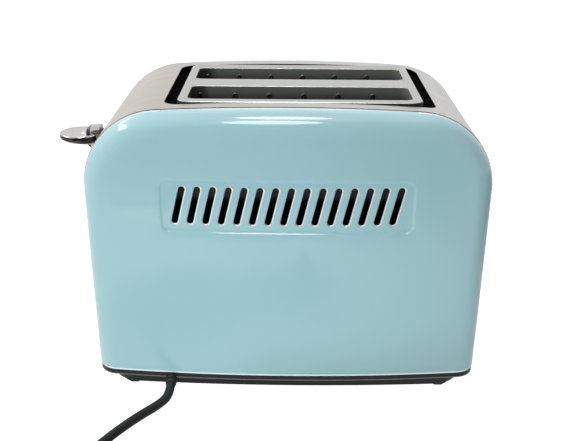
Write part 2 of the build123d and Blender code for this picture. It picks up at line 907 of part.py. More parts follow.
def mains_cord():
    tip = Vector(gland_x, *gland_tip)
    dip = math.radians(gland_dip)
    leaving = tip + Vector(0, -math.cos(dip), -math.sin(dip)) * cord_lead
    arriving = entry_start - coil_heading(coil_entry_angle) * coil_lead
    return tube([tip, leaving] + cord_points + [arriving, entry_start])


def cord_tail():
    tilt = math.radians(plug_tilt)
    leaving = exit_end + coil_heading(coil_exit_angle) * tail_lead
    arriving = Vector(*plug_tail) - Vector(math.cos(tilt), 0, math.sin(tilt)) * plug_lead
    return tube([exit_end, leaving] + tail_points + [arriving, plug_tail])


def cord_coil():
    outer_r = coil_r + cord_r
    inner_r = coil_turn_r - cord_r * coil_rows
    height = 2 * cord_r * coil_layers
    coil = Pos(*coil_centre, 0) * extrude(Circle(outer_r) - Circle(inner_r), height)
    for start, end in ((entry_start, entry_at), (exit_at, exit_end)):
        coil += extrude(Plane(start, z_dir=end - start) * Circle(cord_r), (end - start).length)
    return coil


def plug_frame():
    return Pos(*plug_tail) * Rot(Y=90 - plug_tilt)


def plug_body():
    rim_from = plug_length - plug_rim
    profile = [
        (0, 0),
        (plug_tail_r, 0),
        (plug_tail_r + plug_relief_flare, plug_relief * 0.9),
        (plug_grip_r, plug_relief),
        (plug_grip_r + plug_flare, rim_from - plug_waist),
        (plug_face_r, rim_from),
        (plug_face_r, plug_length),
        (0, plug_length),
    ]
    body = revolve(Plane.XZ * Polygon(*profile), Axis.Z)
    body = fillet(body.edges().filter_by(lambda edge: edge.center().Z > plug_relief), plug_round)
    return plug_frame() * body


def plug_pins():
    group = []
    for side in (-1, 1):
        pin = Pos(0, side * pin_pitch / 2, plug_length) * extrude(Circle(pin_r), pin_length)
        pin = fillet(pin.faces().sort_by(Axis.Z)[-1].edges(), pin_r * 0.7)
        group.append(plug_frame() * pin)
    return group


def write(name, shape):
    solids = shape if isinstance(shape, list) else [shape]
    moved = [Pos(-origin_x, 0, 0) * solid for solid in solids]
    whole = Compound(children=[solid for piece in moved for solid in piece.solids()])
    export_step(whole, os.path.join("parts", name + ".step"))


pieces = {
    "steel_wrap": steel_wrap(),
    "vented_panel": vented_panel(),
    "plain_panel": plain_panel(),
    "slot_plate": slot_plate(),
    "slot_frame": slot_frame(),
    "base_tray": base_tray(),
    "feet": feet(),
    "base_screws": base_screws(),
    "lever_end_plate": lever_end_plate(),
    "far_end_plate": end_plate(far_plate_x, 1),
    "near_reflector": reflector(-1),
    "far_reflector": reflector(1),
    "near_mica_card": mica_card(-outer_mica_y),
    "middle_mica_card": mica_card(0),
    "far_mica_card": mica_card(outer_mica_y),
    "near_ribbon": ribbon(-outer_mica_y, 1),
    "middle_ribbons": [ribbon(0, -1), ribbon(0, 1)],
    "far_ribbon": ribbon(outer_mica_y, -1),
    "near_outer_guide": bread_guide(-1, -1),
    "near_inner_guide": bread_guide(-1, 1),
    "far_inner_guide": bread_guide(1, -1),
    "far_outer_guide": bread_guide(1, 1),
    "near_bread_rack": bread_rack(-1),
    "far_bread_rack": bread_rack(1),
    "carriage_bracket": carriage_bracket(),
    "armature": armature(),
    "lever_knob": lever_knob(),
    "guide_rods": guide_rods(),
    "return_spring": return_spring(),
    "magnet_core": magnet_core(),
    "magnet_coils": magnet_coils(),
    "power_switch": power_switch(),
    "switch_contacts": switch_contacts(),
    "control_frame": control_frame(),
    "circuit_board": circuit_board(),
    "tact_switches": tact_switches(),
    "potentiometer": potentiometer(),
    "dial_ring": dial_ring(),
    "dial_knob": dial_knob(),
    "reheat_button": button(0),
    "cancel_button": button(1),
    "defrost_button": button(2),
    "crumb_tray": crumb_tray(),
    "cord_gland": gland(0),
    "mains_cord": mains_cord(),
    "cord_coil": cord_coil(),
    "cord_tail": cord_tail(),
    "plug_body": plug_body(),
    "plug_pins": plug_pins(),
}

for name, shape in pieces.items():
    write(name, shape)
print(len(pieces), "nodes; origin is", round(origin_x, 2), "mm from the middle of the housing")
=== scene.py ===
import json
import math
import bmesh
import bpy
from mathutils import Matrix, Vector


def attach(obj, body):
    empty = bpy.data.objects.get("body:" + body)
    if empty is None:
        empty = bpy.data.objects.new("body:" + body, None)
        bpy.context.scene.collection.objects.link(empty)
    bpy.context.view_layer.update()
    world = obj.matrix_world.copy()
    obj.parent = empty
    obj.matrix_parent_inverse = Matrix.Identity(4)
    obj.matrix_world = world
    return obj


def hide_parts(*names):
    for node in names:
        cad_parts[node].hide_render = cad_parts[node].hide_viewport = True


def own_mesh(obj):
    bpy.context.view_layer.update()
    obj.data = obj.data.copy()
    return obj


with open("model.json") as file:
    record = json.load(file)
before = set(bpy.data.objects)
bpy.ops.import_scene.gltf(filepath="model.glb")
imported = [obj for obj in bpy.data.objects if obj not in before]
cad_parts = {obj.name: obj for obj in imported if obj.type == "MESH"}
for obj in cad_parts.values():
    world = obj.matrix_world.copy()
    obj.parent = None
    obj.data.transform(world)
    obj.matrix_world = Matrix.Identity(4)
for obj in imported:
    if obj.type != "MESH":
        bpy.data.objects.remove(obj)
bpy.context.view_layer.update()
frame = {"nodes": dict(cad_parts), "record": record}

nodes = frame["nodes"]
shiftX = 14.9  # from the middle of the housing to the row's origin, mm
mm = 0.001


def rowPoint(x, y, z):
    # millimetres about the middle of the housing, to metres in the row's frame
    return Vector(((x + shiftX) * mm, y * mm, z * mm))


print("frame loaded:", len(nodes), "nodes")

# Builders that every shader tree uses


def feed(tree, socket, value):
    # link another node's output, or set a constant on the socket itself
    if isinstance(value, bpy.types.NodeSocket):
        tree.links.new(value, socket)
    else:
        socket.default_value = value


def addMath(tree, operation, first, second, clamp=False):
    node = tree.nodes.new("ShaderNodeMath")
    node.operation = operation
    node.use_clamp = clamp
    feed(tree, node.inputs[0], first)
    feed(tree, node.inputs[1], second)
    return node.outputs[0]


def multiply(tree, first, second, clamp=False):
    return addMath(tree, "MULTIPLY", first, second, clamp)


def addVector(tree, operation, first, second=(0, 0, 0), result="Vector"):
    node = tree.nodes.new("ShaderNodeVectorMath")
    node.operation = operation
    feed(tree, node.inputs[0], first)
    feed(tree, node.inputs[1], second)
    return node.outputs[result]


def addRange(tree, value, *limits):
    # an eased step: from low, from high, to low, to high
    node = tree.nodes.new("ShaderNodeMapRange")
    node.interpolation_type = "SMOOTHSTEP"
    for socket, number in zip(node.inputs, (value, *limits)):
        feed(tree, socket, number)
    return node.outputs["Result"]


def addNoise(tree, where, scale, detail, roughness=0.5):
    node = tree.nodes.new("ShaderNodeTexNoise")
    for label, value in (("Vector", where), ("Scale", scale), ("Detail", detail), ("Roughness", roughness)):
        feed(tree, node.inputs[label], value)
    return node.outputs["Fac"]


def onAxis(tree, vector, axis):
    split = tree.nodes.new("ShaderNodeSeparateXYZ")
    tree.links.new(vector, split.inputs[0])
    return split.outputs[axis]


def objectPlace(tree):
    return tree.nodes.new("ShaderNodeTexCoord").outputs["Object"]


# Camera, floor and light

cameraView = {
    "place": (16.1 * mm, -570.9 * mm, 330.2 * mm),
    "down": 0.3978, "yaw": -0.008, "roll": 0.006,  # radians
    "lens": 54.64, "sensor": 36.0, "clip": 0.01,
}


def makeCamera(values):
    down, yaw, roll = values["down"], values["yaw"], values["roll"]
    ahead = Vector((math.sin(yaw) * math.cos(down), math.cos(yaw) * math.cos(down), -math.sin(down)))
    right = ahead.cross(Vector((0, 0, 1))).normalized()
    up = right.cross(ahead)
    rolledRight = right * math.cos(roll) + up * math.sin(roll)
    rolledUp = up * math.cos(roll) - right * math.sin(roll)
    data = bpy.data.cameras.new("camera")
    data.lens = values["lens"]
    data.sensor_width = values["sensor"]
    data.clip_start = values["clip"]
    camera = bpy.data.objects.new("camera", data)
    turn = Matrix((rolledRight, rolledUp, -ahead)).transposed()
    camera.matrix_world = Matrix.Translation(values["place"]) @ turn.to_4x4()
    bpy.context.scene.collection.objects.link(camera)
    bpy.context.scene.camera = camera


studio = {
    "floorHalf": 6.0,
    "paper": 0.62,
    "paperRough": 0.6,
    "mirrorGlow": 0.5,  # what the paper adds of its own where a mirror looks at it
    "darkRoom": [
        # places on the floor that mirrors see as the unlit room: middle, dark inside, paper outside
        ((0.0, -1.25, 0.0), 0.72, 1.02),
        ((0.95, -0.15, 0.0), 0.5, 0.74),
        # and under the coil and the plug, so that the painted panel shows no image of them
        ((-0.0865, -0.2061, 0.0), 0.03, 0.11),
        ((0.01, -0.24, 0.0), 0.02, 0.1),
    ],
    "skyFill": 0.2,
    "skyFront": 0.16,  # the room behind the camera and to its right, as mirrors see it
    "skyFrontWay": (0.6, -0.8, 0.0),
    "skyFrontFade": (0.25, 0.5),
    "lamps": [
        # name, shape, place, aim, width, depth, watts, shows in reflections
        ("overheadBox", "RECTANGLE", (-0.3, 0.35, 1.6), (0.0, 0.0, 0.1), 1.4, 1.0, 3.7, False),
        ("keyBox", "RECTANGLE", (-0.07, -0.465, 0.033), (-0.025, 0.0, 0.02), 0.35, 0.05, 1.12, False),
        ("farDisc", "ELLIPSE", (0.0, -0.11, 1.25), (0.0, -0.07, 0.15), 0.29, 0.3, 3.2, True),
        ("nearDisc", "ELLIPSE", (-0.045, -0.625, 1.25), (0.0, -0.07, 0.15), 0.35, 0.42, 4.0, True),
        ("leftFarDisc", "ELLIPSE", (-1.2, 0.85, 1.25), (0.0, -0.07, 0.15), 0.75, 0.21, 4.3, True),
        ("leftNearDisc", "ELLIPSE", (-1.25, -0.08, 1.25), (0.0, -0.07, 0.15), 0.85, 0.27, 5.8, True),
    ],
}


def makeLamp(name, shape, place, aim, width, depth, watts, shows):
    data = bpy.data.lights.new(name, "AREA")
    data.shape = shape
    data.size, data.size_y = width, depth
    data.energy = watts
    lamp = bpy.data.objects.new(name, data)
    lamp.visible_glossy = lamp.visible_camera = shows
    lamp.location = place
    lamp.rotation_mode = "QUATERNION"
    lamp.rotation_quaternion = (Vector(aim) - Vector(place)).to_track_quat("-Z", "Y")
    bpy.context.scene.collection.objects.link(lamp)


def seenOrReflected(tree):
    # 1 for rays from the camera, in mirrors and through glass; then 1 for the camera's own
    path = tree.nodes.new("ShaderNodeLightPath").outputs
    mirrored = addMath(tree, "MAXIMUM", path["Is Camera Ray"], path["Is Glossy Ray"])
    return addMath(tree, "MAXIMUM", mirrored, path["Is Transmission Ray"]), path["Is Camera Ray"]


def makeSky(values):
    # white where it is seen, a softer fill for diffuse light, and a darker room in front for mirrors
    world = bpy.data.worlds.new("studioSky")
    world.use_nodes = True
    tree = world.node_tree
    tree.nodes.clear()
    seen, fromCamera = seenOrReflected(tree)
    toFront = addVector(tree, "DOT_PRODUCT", objectPlace(tree), values["skyFrontWay"], "Value")
    mirrored = addRange(tree, toFront, *values["skyFrontFade"], 1.0, values["skyFront"])
    shown = multiply(tree, seen, addMath(tree, "MAXIMUM", mirrored, fromCamera))
    fill = addRange(tree, seen, 0, 1, values["skyFill"], 0)
    glow = tree.nodes.new("ShaderNodeBackground")
    glow.inputs["Color"].default_value = (1, 1, 1, 1)
    tree.links.new(addMath(tree, "MAXIMUM", shown, fill), glow.inputs["Strength"])
    out = tree.nodes.new("ShaderNodeOutputWorld")
    tree.links.new(glow.outputs[0], out.inputs["Surface"])
    bpy.context.scene.world = world


def makeFloor(values):
    # a sheet of white paper that keeps the shadow; mirrors see it fall off into the unlit room
    bm = bmesh.new()
    bmesh.ops.create_grid(bm, x_segments=1, y_segments=1, size=values["floorHalf"])
    mesh = bpy.data.meshes.new("studioFloor")
    bm.to_mesh(mesh)
    bm.free()
    floor = bpy.data.objects.new("studioFloor", mesh)
    bpy.context.scene.collection.objects.link(floor)
    paint = bpy.data.materials.new("floorPaint")
    paint.use_nodes = True
    tree = paint.node_tree
    shader = tree.nodes["Principled BSDF"].inputs
    shader["Roughness"].default_value = values["paperRough"]
    shader["Emission Color"].default_value = (1, 1, 1, 1)
    where = objectPlace(tree)
    seen, fromCamera = seenOrReflected(tree)
    onlyMirror = addMath(tree, "SUBTRACT", seen, fromCamera)
    dark = 0.0
    for middle, inside, outside in values["darkRoom"]:
        away = addVector(tree, "DISTANCE", where, middle, "Value")
        dark = addMath(tree, "MAXIMUM", dark, addRange(tree, away, inside, outside, 1, 0))
    lit = addMath(tree, "SUBTRACT", 1.0, multiply(tree, dark, onlyMirror))
    tree.links.new(multiply(tree, lit, values["paper"]), shader["Base Color"])
    glow = addMath(tree, "ADD", fromCamera, multiply(tree, onlyMirror, values["mirrorGlow"]))
    tree.links.new(multiply(tree, lit, glow), shader["Emission Strength"])
    mesh.materials.append(paint)


makeCamera(cameraView)
makeSky(studio)
makeFloor(studio)
for lampValues in studio["lamps"]:
    makeLamp(*lampValues)
bpy.context.scene.view_settings.view_transform = "Standard"
print("camera, floor and lamps placed")

# Shader node groups that several finishes share

patterns = {
    # noises: scale, detail and roughness, without the scale where that is an input
    "fine": (1.0, 4.0, 0.7), "wide": (0.13, 2.0), "wideShare": 0.6, "lineMiddle": 0.8,
    "grain": (2.0,), "cloud": (3.0,), "cloudMiddle": 0.5,
    "edgeSamples": 4, "edgeGain": 6.0, "edgePatches": (260.0, 3.0),
    "dust": (5.0, 0.65), "leastDust": 0.15,
}


def newGroup(name, inputs, outputs):
    # every group takes a coordinate; tuples are vectors, and all it puts out are masks and values
    group = bpy.data.node_groups.new(name, "ShaderNodeTree")
    for label, value in {"Coordinate": (0, 0, 0), **inputs}.items():
        kind = "NodeSocketVector" if isinstance(value, tuple) else "NodeSocketFloat"
        group.interface.new_socket(label, in_out="INPUT", socket_type=kind).default_value = value
    for label in outputs:
        group.interface.new_socket(label, in_out="OUTPUT", socket_type="NodeSocketFloat")
    return group, group.nodes.new("NodeGroupInput").outputs, group.nodes.new("NodeGroupOutput").inputs


def makeBrushedLines():
    # long fine scratches: the stretch vector says how tight they lie along each axis
    group, given, result = newGroup("brushedLines", {"Stretch": (30, 2500, 30)}, ("Height", "Tone"))
    stretched = addVector(group, "MULTIPLY", given["Coordinate"], given["Stretch"])
    fine = addNoise(group, stretched, *patterns["fine"])
    wide = multiply(group, addNoise(group, stretched, *patterns["wide"]), patterns["wideShare"])
    both = addMath(group, "ADD", fine, wide)
    group.links.new(addMath(group, "SUBTRACT", both, patterns["lineMiddle"]), result["Tone"])
    group.links.new(both, result["Height"])
    return group


def makeFineGrain():
    # the small even texture of moulded plastic, or the faint waviness of sprayed paint
    group, given, result = newGroup("fineGrain", {"Scale": 900.0, "Mottle": 14.0}, ("Height", "Tone"))
    grain = addNoise(group, given["Coordinate"], given["Scale"], *patterns["grain"])
    cloud = addNoise(group, given["Coordinate"], given["Mottle"], *patterns["cloud"])
    group.links.new(addMath(group, "SUBTRACT", cloud, patterns["cloudMiddle"]), result["Tone"])
    group.links.new(grain, result["Height"])
    return group


def makeEdgeWear():
    # 1 along sharp outer and inner edges, broken up by noise
    group, given, result = newGroup("edgeWear", {"Width": 0.0006, "Amount": 0.5}, ("Mask",))
    rounded = group.nodes.new("ShaderNodeBevel")
    rounded.samples = patterns["edgeSamples"]
    group.links.new(given["Width"], rounded.inputs["Radius"])
    shape = group.nodes.new("ShaderNodeNewGeometry")
    same = addVector(group, "DOT_PRODUCT", rounded.outputs["Normal"], shape.outputs["Normal"], "Value")
    turned = multiply(group, addMath(group, "SUBTRACT", 1.0, same), patterns["edgeGain"])
    patches = addNoise(group, given["Coordinate"], *patterns["edgePatches"])
    strength = multiply(group, turned, patches)
    group.links.new(multiply(group, strength, given["Amount"], True), result["Mask"])
    return group


def makeLightDust():
    # a thin uneven film that gathers on faces that look up
    group, given, result = newGroup("lightDust", {"Scale": 40.0, "Amount": 0.2}, ("Mask",))
    normal = group.nodes.new("ShaderNodeNewGeometry").outputs["Normal"]
    upward = addMath(group, "MAXIMUM", onAxis(group, normal, "Z"), patterns["leastDust"])
    specks = addNoise(group, given["Coordinate"], given["Scale"], *patterns["dust"])
    film = multiply(group, upward, specks)
    group.links.new(multiply(group, film, given["Amount"], True), result["Mask"])
    return group


sharedGroups = {
    "brushedLines": makeBrushedLines(),
    "fineGrain": makeFineGrain(),
    "edgeWear": makeEdgeWear(),
    "lightDust": makeLightDust(),
}

# Finishes: one row of values for each, and what only some of them have

finishRows = {
    # tone, its swing, roughness, metal, bump depth, dust, and grain and mottle or the stretch of the lines
    "aqua_paint": ((0.291, 0.492, 0.53), 0.012, 0.35, 0.0, 3e-6, 0.02, (420, 9)),
    "painted_edge_highlight": ((0.84, 0.92, 0.92), 0.05, 0.22, 0.55, 3e-6, 0.02, (900, 120)),  # painted highlight: pale, partly metallic rolled edges that stand for light caught on them
    "brushed_steel": ((0.525, 0.521, 0.501), 0.3, 0.3, 1.0, 12e-6, 0.08, (35, 3200, 35)),
    "plate_steel": ((0.48, 0.48, 0.462), 0.24, 0.27, 1.0, 10e-6, 0.06, (30, 3000, 900)),
    "chrome": ((0.52, 0.512, 0.492), 0.12, 0.06, 1.0, 10e-6, 0.03, (500, 420)),
    "dark_chrome": ((0.055, 0.054, 0.056), 0.5, 0.1, 1.0, 20e-6, 0.02, (700, 520)),  # in the lever's own shade
    "black_plastic": ((0.009, 0.0085, 0.0085), 0.25, 0.34, 0.0, 30e-6, 0.012, (1500, 30)),
    "base_plastic": ((0.012, 0.0155, 0.0165), 0.25, 0.34, 0.0, 30e-6, 0.012, (1500, 30)),
    # painted shade: a matt black with no shine, standing for the dark gap round the slot plate
    "gap_shade_black": ((0.004, 0.004, 0.0045), 0.3, 0.6, 0.0, 30e-6, 0.004, (1500, 30)),
    # painted shade: wire darkened as it stands down in the slots
    "shaded_guide_wire": ((0.11, 0.112, 0.1), 0.3, 0.42, 1.0, 10e-6, 0.02, (900, 150)),
    # painted shade: the reflectors made near black, as they lie in shade inside the housing
    "reflector_in_painted_shade": ((0.02, 0.02, 0.022), 0.3, 0.55, 0.3, 10e-6, 0.02, (900, 120, 90)),
    "black_gloss": ((0.01, 0.01, 0.011), 0.15, 0.14, 0.0, 6e-6, 0.03, (900, 40)),
    "rubber": ((0.01, 0.01, 0.0105), 0.3, 0.45, 0.0, 30e-6, 0.05, (2200, 80)),
    "plated_steel": ((0.36, 0.36, 0.34), 0.25, 0.38, 1.0, 10e-6, 0.2, (900, 120, 90)),
    "mica": ((0.25, 0.215, 0.165), 0.4, 0.5, 0.0, 80e-6, 0.1, (300, 60)),
    "ribbon": ((0.2, 0.18, 0.165), 0.3, 0.45, 1.0, 10e-6, 0.1, (60, 2500, 2500)),
    "wire": ((0.52, 0.52, 0.49), 0.2, 0.25, 1.0, 10e-6, 0.1, (900, 150)),
    "copper": ((0.5, 0.2, 0.09), 0.2, 0.3, 1.0, 80e-6, 0.05, (60, 60, 3600)),
    "iron": ((0.13, 0.13, 0.135), 0.2, 0.5, 1.0, 50e-6, 0.15, (2400, 60, 60)),
    "board": ((0.035, 0.13, 0.055), 0.2, 0.35, 0.0, 10e-6, 0.1, (1800, 120)),
    "brass": ((0.6, 0.44, 0.18), 0.15, 0.25, 1.0, 8e-6, 0.05, (900, 90)),
    "nickel": ((0.62, 0.6, 0.56), 0.1, 0.18, 1.0, 8e-6, 0.05, (900, 90)),
}
finishExtras = {
    "aqua_paint": {
        "shine": 0.2, "coat": {"Coat Weight": 0.5, "Coat Roughness": 0.03, "Coat IOR": 1.65},
        # painted highlight over the rolled rim
        "paintedRimHighlight": (0.069, 0.08, (0.43, 0.67, 0.73)),
        # painted highlight: a pale line along the sheet's bottom edge
        "paintedLightBands": [(0.0143, 0.0151, (0.68, 0.84, 0.88), 0.0001)],
    },
    "brushed_steel": {
        "shade": [
            # middle, half size, corner, clear and full distances from the outline, X from where it shows
            ((7.2, 0.0), (85.2, 54.8), 10.0, (0.07, 0.01), (-900.0, -800.0)),
            ((0.0, 0.0), (400.0, 64.5), 5.0, (-0.09, -0.03), (-105.0, -60.0)),
        ],
        "ends": (-0.075, 0.05, 0.8, (0.495, 0.452, 0.408)),
    },
    "plate_steel": {
        "scorchAndShade": {
            "below": (0.1909, 0.19115), "tone": (0.2, 0.21, 0.19),
            # painted shade: darker deeper down the slot, and at its left end
            "deep": (0.1815, 0.1895, 0.42), "end": (-0.044, -0.036, 0.2), "roughen": 0.2, "tarnish": 0.9,
        },
        "shade": [((7.2, 0.0), (77.2, 52.6), 8.0, (-0.5, -0.25), (-900.0, -800.0))],
    },
    "black_plastic": {"shine": 0.22, "wear": (0.35, (0.09, 0.09, 0.095))},
    "base_plastic": {
        # the same plastic, a little bluer, with a painted highlight along the lower edge of its ledge, painted shade
        # on the tray under it, and some wear on its edges
        "shine": 0.22, "wear": (0.2, (0.09, 0.09, 0.095)),
        "paintedLightBands": [(0.0, 0.0098, (0.005, 0.0045, 0.0036), 0.0001), (0.00995, 0.0106, (0.175, 0.172, 0.165), 0.0001)],
    },
    "gap_shade_black": {"shine": 0.0},
    # painted light: a paler band at the height of the vents' upper ends
    "reflector_in_painted_shade": {"paintedLightBands": [(0.13, 0.16, (0.1, 0.092, 0.098), 0.005)]},
    "black_gloss": {"shine": 0.4, "wear": (0.4, (0.1, 0.1, 0.1))},
    "rubber": {"shine": 0.22},
    "plated_steel": {"wear": (0.3, (0.62, 0.62, 0.6))},
}
everyFinish = {"roughSwing": 0.12, "dustTone": (0.42, 0.41, 0.39), "shadeTone": (0.022, 0.022, 0.02)}


def placeGroup(tree, name, where, values):
    node = tree.nodes.new("ShaderNodeGroup")
    node.node_tree = sharedGroups[name]
    tree.links.new(where, node.inputs["Coordinate"])
    for label, value in values.items():
        node.inputs[label].default_value = value
    return node.outputs


def mixColours(tree, amount, first, second, blend="MIX"):
    mix = tree.nodes.new("ShaderNodeMix")
    mix.data_type = "RGBA"
    mix.blend_type = blend
    if not isinstance(second, bpy.types.NodeSocket):
        second = (*second, 1)
    for place, value in ((0, amount), (6, first), (7, second)):  # the factor and the two colours
        feed(tree, mix.inputs[place], value)
    return mix.outputs[2]


def scaleTone(tree, tone, factor):
    node = tree.nodes.new("ShaderNodeVectorMath")
    node.operation = "SCALE"
    node.inputs[0].default_value = tone
    tree.links.new(factor, node.inputs["Scale"])
    return node.outputs[0]


def addShade(tree, where, middle, half, corner, reach, along):
    # distance from an upright round-cornered outline, made a mask that fades in along X
    flat = addVector(tree, "MULTIPLY", addVector(tree, "SUBTRACT", where, rowPoint(*middle, 0)), (1, 1, 0))
    inner = ((half[0] - corner) * mm, (half[1] - corner) * mm, 0)
    past = addVector(tree, "MAXIMUM", addVector(tree, "SUBTRACT", addVector(tree, "ABSOLUTE", flat), inner))
    distance = addMath(tree, "SUBTRACT", addVector(tree, "LENGTH", past, result="Value"), corner * mm)
    clear, full = reach
    low, high = sorted(reach)
    edge = addRange(tree, distance, low * mm, high * mm, float(full < clear), float(full > clear))
    start, end = along
    return multiply(tree, edge, addRange(tree, onAxis(tree, where, "X"), start * mm, end * mm, 0, 1))


def addScorchAndShade(tree, where, values):
    # darkened below the rolled edge, partly by heat and partly as painted shade that deepens down the slot and at its
    # left end: a mask and the tone
    height = onAxis(tree, where, "Z")
    scorchedAndShaded = addRange(tree, height, *values["below"], 1, 0)
    deepLow, deepHigh, deepShare = values["deep"]
    endStart, endStop, endShare = values["end"]
    atEnd = addRange(tree, onAxis(tree, where, "X"), endStart, endStop, endShare, 1)
    deeper = multiply(tree, addRange(tree, height, deepLow, deepHigh, deepShare, 1), atEnd)
    return scorchedAndShaded, scaleTone(tree, values["tone"], deeper)


def makeFinish(name, tone, swing, rough, metal, bumpDepth, dust, texture, extras):
    finish = bpy.data.materials.new(name)
    finish.use_nodes = True
    tree = finish.node_tree
    shader = tree.nodes["Principled BSDF"].inputs
    where = objectPlace(tree)
    if len(texture) == 3:
        pattern = placeGroup(tree, "brushedLines", where, {"Stretch": texture})
    else:
        pattern = placeGroup(tree, "fineGrain", where, {"Scale": texture[0], "Mottle": texture[1]})
    lighter = multiply(tree, pattern["Tone"], swing * 2)  # the tone runs from -0.5 to 0.5
    lighter = addMath(tree, "ADD", lighter, 1.0)
    colour = scaleTone(tree, tone, lighter)
    uneven = multiply(tree, pattern["Tone"], everyFinish["roughSwing"])
    roughness = addMath(tree, "ADD", uneven, rough, True)
    shader["Metallic"].default_value = metal
    if "wear" in extras:
        amount, wearTone = extras["wear"]
        worn = placeGroup(tree, "edgeWear", where, {"Amount": amount})["Mask"]
        colour = mixColours(tree, worn, colour, wearTone)
    if "scorchAndShade" in extras:
        scorchedAndShaded, scorchAndShadeTone = addScorchAndShade(tree, where, extras["scorchAndShade"])
        colour = mixColours(tree, scorchedAndShaded, colour, scorchAndShadeTone)
        roughness = addMath(tree, "ADD", roughness, multiply(tree, scorchedAndShaded, extras["scorchAndShade"]["roughen"]), True)
        tarnish = multiply(tree, scorchedAndShaded, extras["scorchAndShade"]["tarnish"])
        tree.links.new(addMath(tree, "SUBTRACT", 1.0, tarnish), shader["Metallic"])
    for low, high, bandTone, soft in extras.get("paintedLightBands", ()):
        # painted light and shade: heights with a tone of their own
        height = onAxis(tree, where, "Z")
        above = addRange(tree, height, low - soft, low, 0, 1)
        below = addRange(tree, height, high, high + soft, 1, 0)
        colour = mixColours(tree, multiply(tree, above, below), colour, bandTone)
    if "paintedRimHighlight" in extras:
        # painted highlight: a paler tone over the back of the rolled rim, fading out towards the face
        start, end, rimHighlightTone = extras["paintedRimHighlight"]
        outward = addMath(tree, "ABSOLUTE", onAxis(tree, where, "Y"), 0.0)
        colour = mixColours(tree, addRange(tree, outward, start, end, 1, 0), colour, rimHighlightTone)
    if "ends" in extras:
        # the two ends of the bent sheet differ a little in warmth
        start, end, share, endTone = extras["ends"]
        warm = multiply(tree, addRange(tree, onAxis(tree, where, "X"), start, end, 1, 0), share)
        ratio = [other / own for other, own in zip(endTone, tone)]
        colour = mixColours(tree, warm, colour, mixColours(tree, 1.0, colour, ratio, "MULTIPLY"))
    for outline in extras.get("shade", ()):
        # cut edges of the sheet lie in shade
        colour = mixColours(tree, addShade(tree, where, *outline), colour, everyFinish["shadeTone"])
    film = placeGroup(tree, "lightDust", where, {"Amount": dust})["Mask"]
    tree.links.new(mixColours(tree, film, colour, everyFinish["dustTone"]), shader["Base Color"])
    tree.links.new(addMath(tree, "ADD", roughness, film, True), shader["Roughness"])
    bump = tree.nodes.new("ShaderNodeBump")
    bump.inputs["Distance"].default_value = bumpDepth
    tree.links.new(pattern["Height"], bump.inputs["Height"])
    tree.links.new(bump.outputs[0], shader["Normal"])
    if "shine" in extras:
        shader["Specular IOR Level"].default_value = extras["shine"]
    for label, value in extras.get("coat", {}).items():
        shader[label].default_value = value
    return finish


finishes = {name: makeFinish(name, *row, finishExtras.get(name, {})) for name, row in finishRows.items()}

slotOfNode = {part["node"]: part["material_slot"] for part in frame["record"]["subparts"]}
ownFinish = {
    "slot_frame": "gap_shade_black", "base_tray": "base_plastic",
    "near_reflector": "reflector_in_painted_shade", "far_reflector": "reflector_in_painted_shade",
}
for nodeName, part in nodes.items():
    part.data.materials.clear()
    part.data.materials.append(finishes[ownFinish.get(nodeName, slotOfNode[nodeName])])
print("finishes made:", len(finishes))

# Helpers that turn a bmesh into a piece

meshing = {"weld": 0.0005, "turnWeld": 0.001, "near": 0.01, "sharp": math.radians(40)}


def turnOutward(bm):
    bmesh.ops.recalc_face_normals(bm, faces=bm.faces)
    if bm.calc_volume(signed=True) < 0:
        bmesh.ops.reverse_faces(bm, faces=bm.faces)
    bm.normal_update()


def finishPiece(bm, name, body, slotName, replaced, finishName=None):
    bmesh.ops.remove_doubles(bm, verts=bm.verts, dist=meshing["weld"])
    turnOutward(bm)
    bmesh.ops.translate(bm, verts=bm.verts, vec=(shiftX, 0, 0))
    bmesh.ops.scale(bm, verts=bm.verts, vec=(mm, mm, mm))
    mesh = bpy.data.meshes.new(name)
    bm.to_mesh(mesh)
    bm.free()
    mesh.shade_smooth()
    mesh.set_sharp_from_angle(angle=meshing["sharp"])
    return placePiece(mesh, name, body, slotName, replaced, finishName)


def placePiece(data, name, body, slotName, replaced, finishName=None):
    piece = bpy.data.objects.new(name, data)
    bpy.context.scene.collection.objects.link(piece)
    data.materials.append(finishes[finishName or slotName])
    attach(piece, body)
    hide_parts(*replaced)
    return piece


def newCurve(name, radius, resolution):
    # a round wire with closed ends
    curve = bpy.data.curves.new(name, "CURVE")
    curve.dimensions = "3D"
    curve.bevel_depth = radius * mm
    curve.bevel_resolution = resolution
    curve.use_fill_caps = True
    return curve


def openEdges(bm):
    return [edge for edge in bm.edges if edge.is_boundary]


def openAt(bm, axis, value):
    # open edges that lie level at one value of an axis
    return [edge for edge in openEdges(bm)
            if all(abs(vert.co[axis] - value) < meshing["near"] for vert in edge.verts)]


def startRing(bm, points, closed):
    verts = [bm.verts.new(point) for point in points]
    pairs = zip(verts, verts[1:] + verts[:1] if closed else verts[1:])
    return verts, [bm.edges.new(pair) for pair in pairs]


def turnProfile(bm, points, middleX, steps):
    # spin an open profile all the way round an upright line
    verts, edges = startRing(bm, points, False)
    bmesh.ops.spin(bm, geom=verts + edges, cent=(middleX, 0, 0), axis=(0, 0, 1),
                   angle=math.tau, steps=steps, use_merge=True)
    bmesh.ops.remove_doubles(bm, verts=bm.verts, dist=meshing["turnWeld"])


def placeKey(vert):
    return tuple(round(value, 6) for value in vert.co)


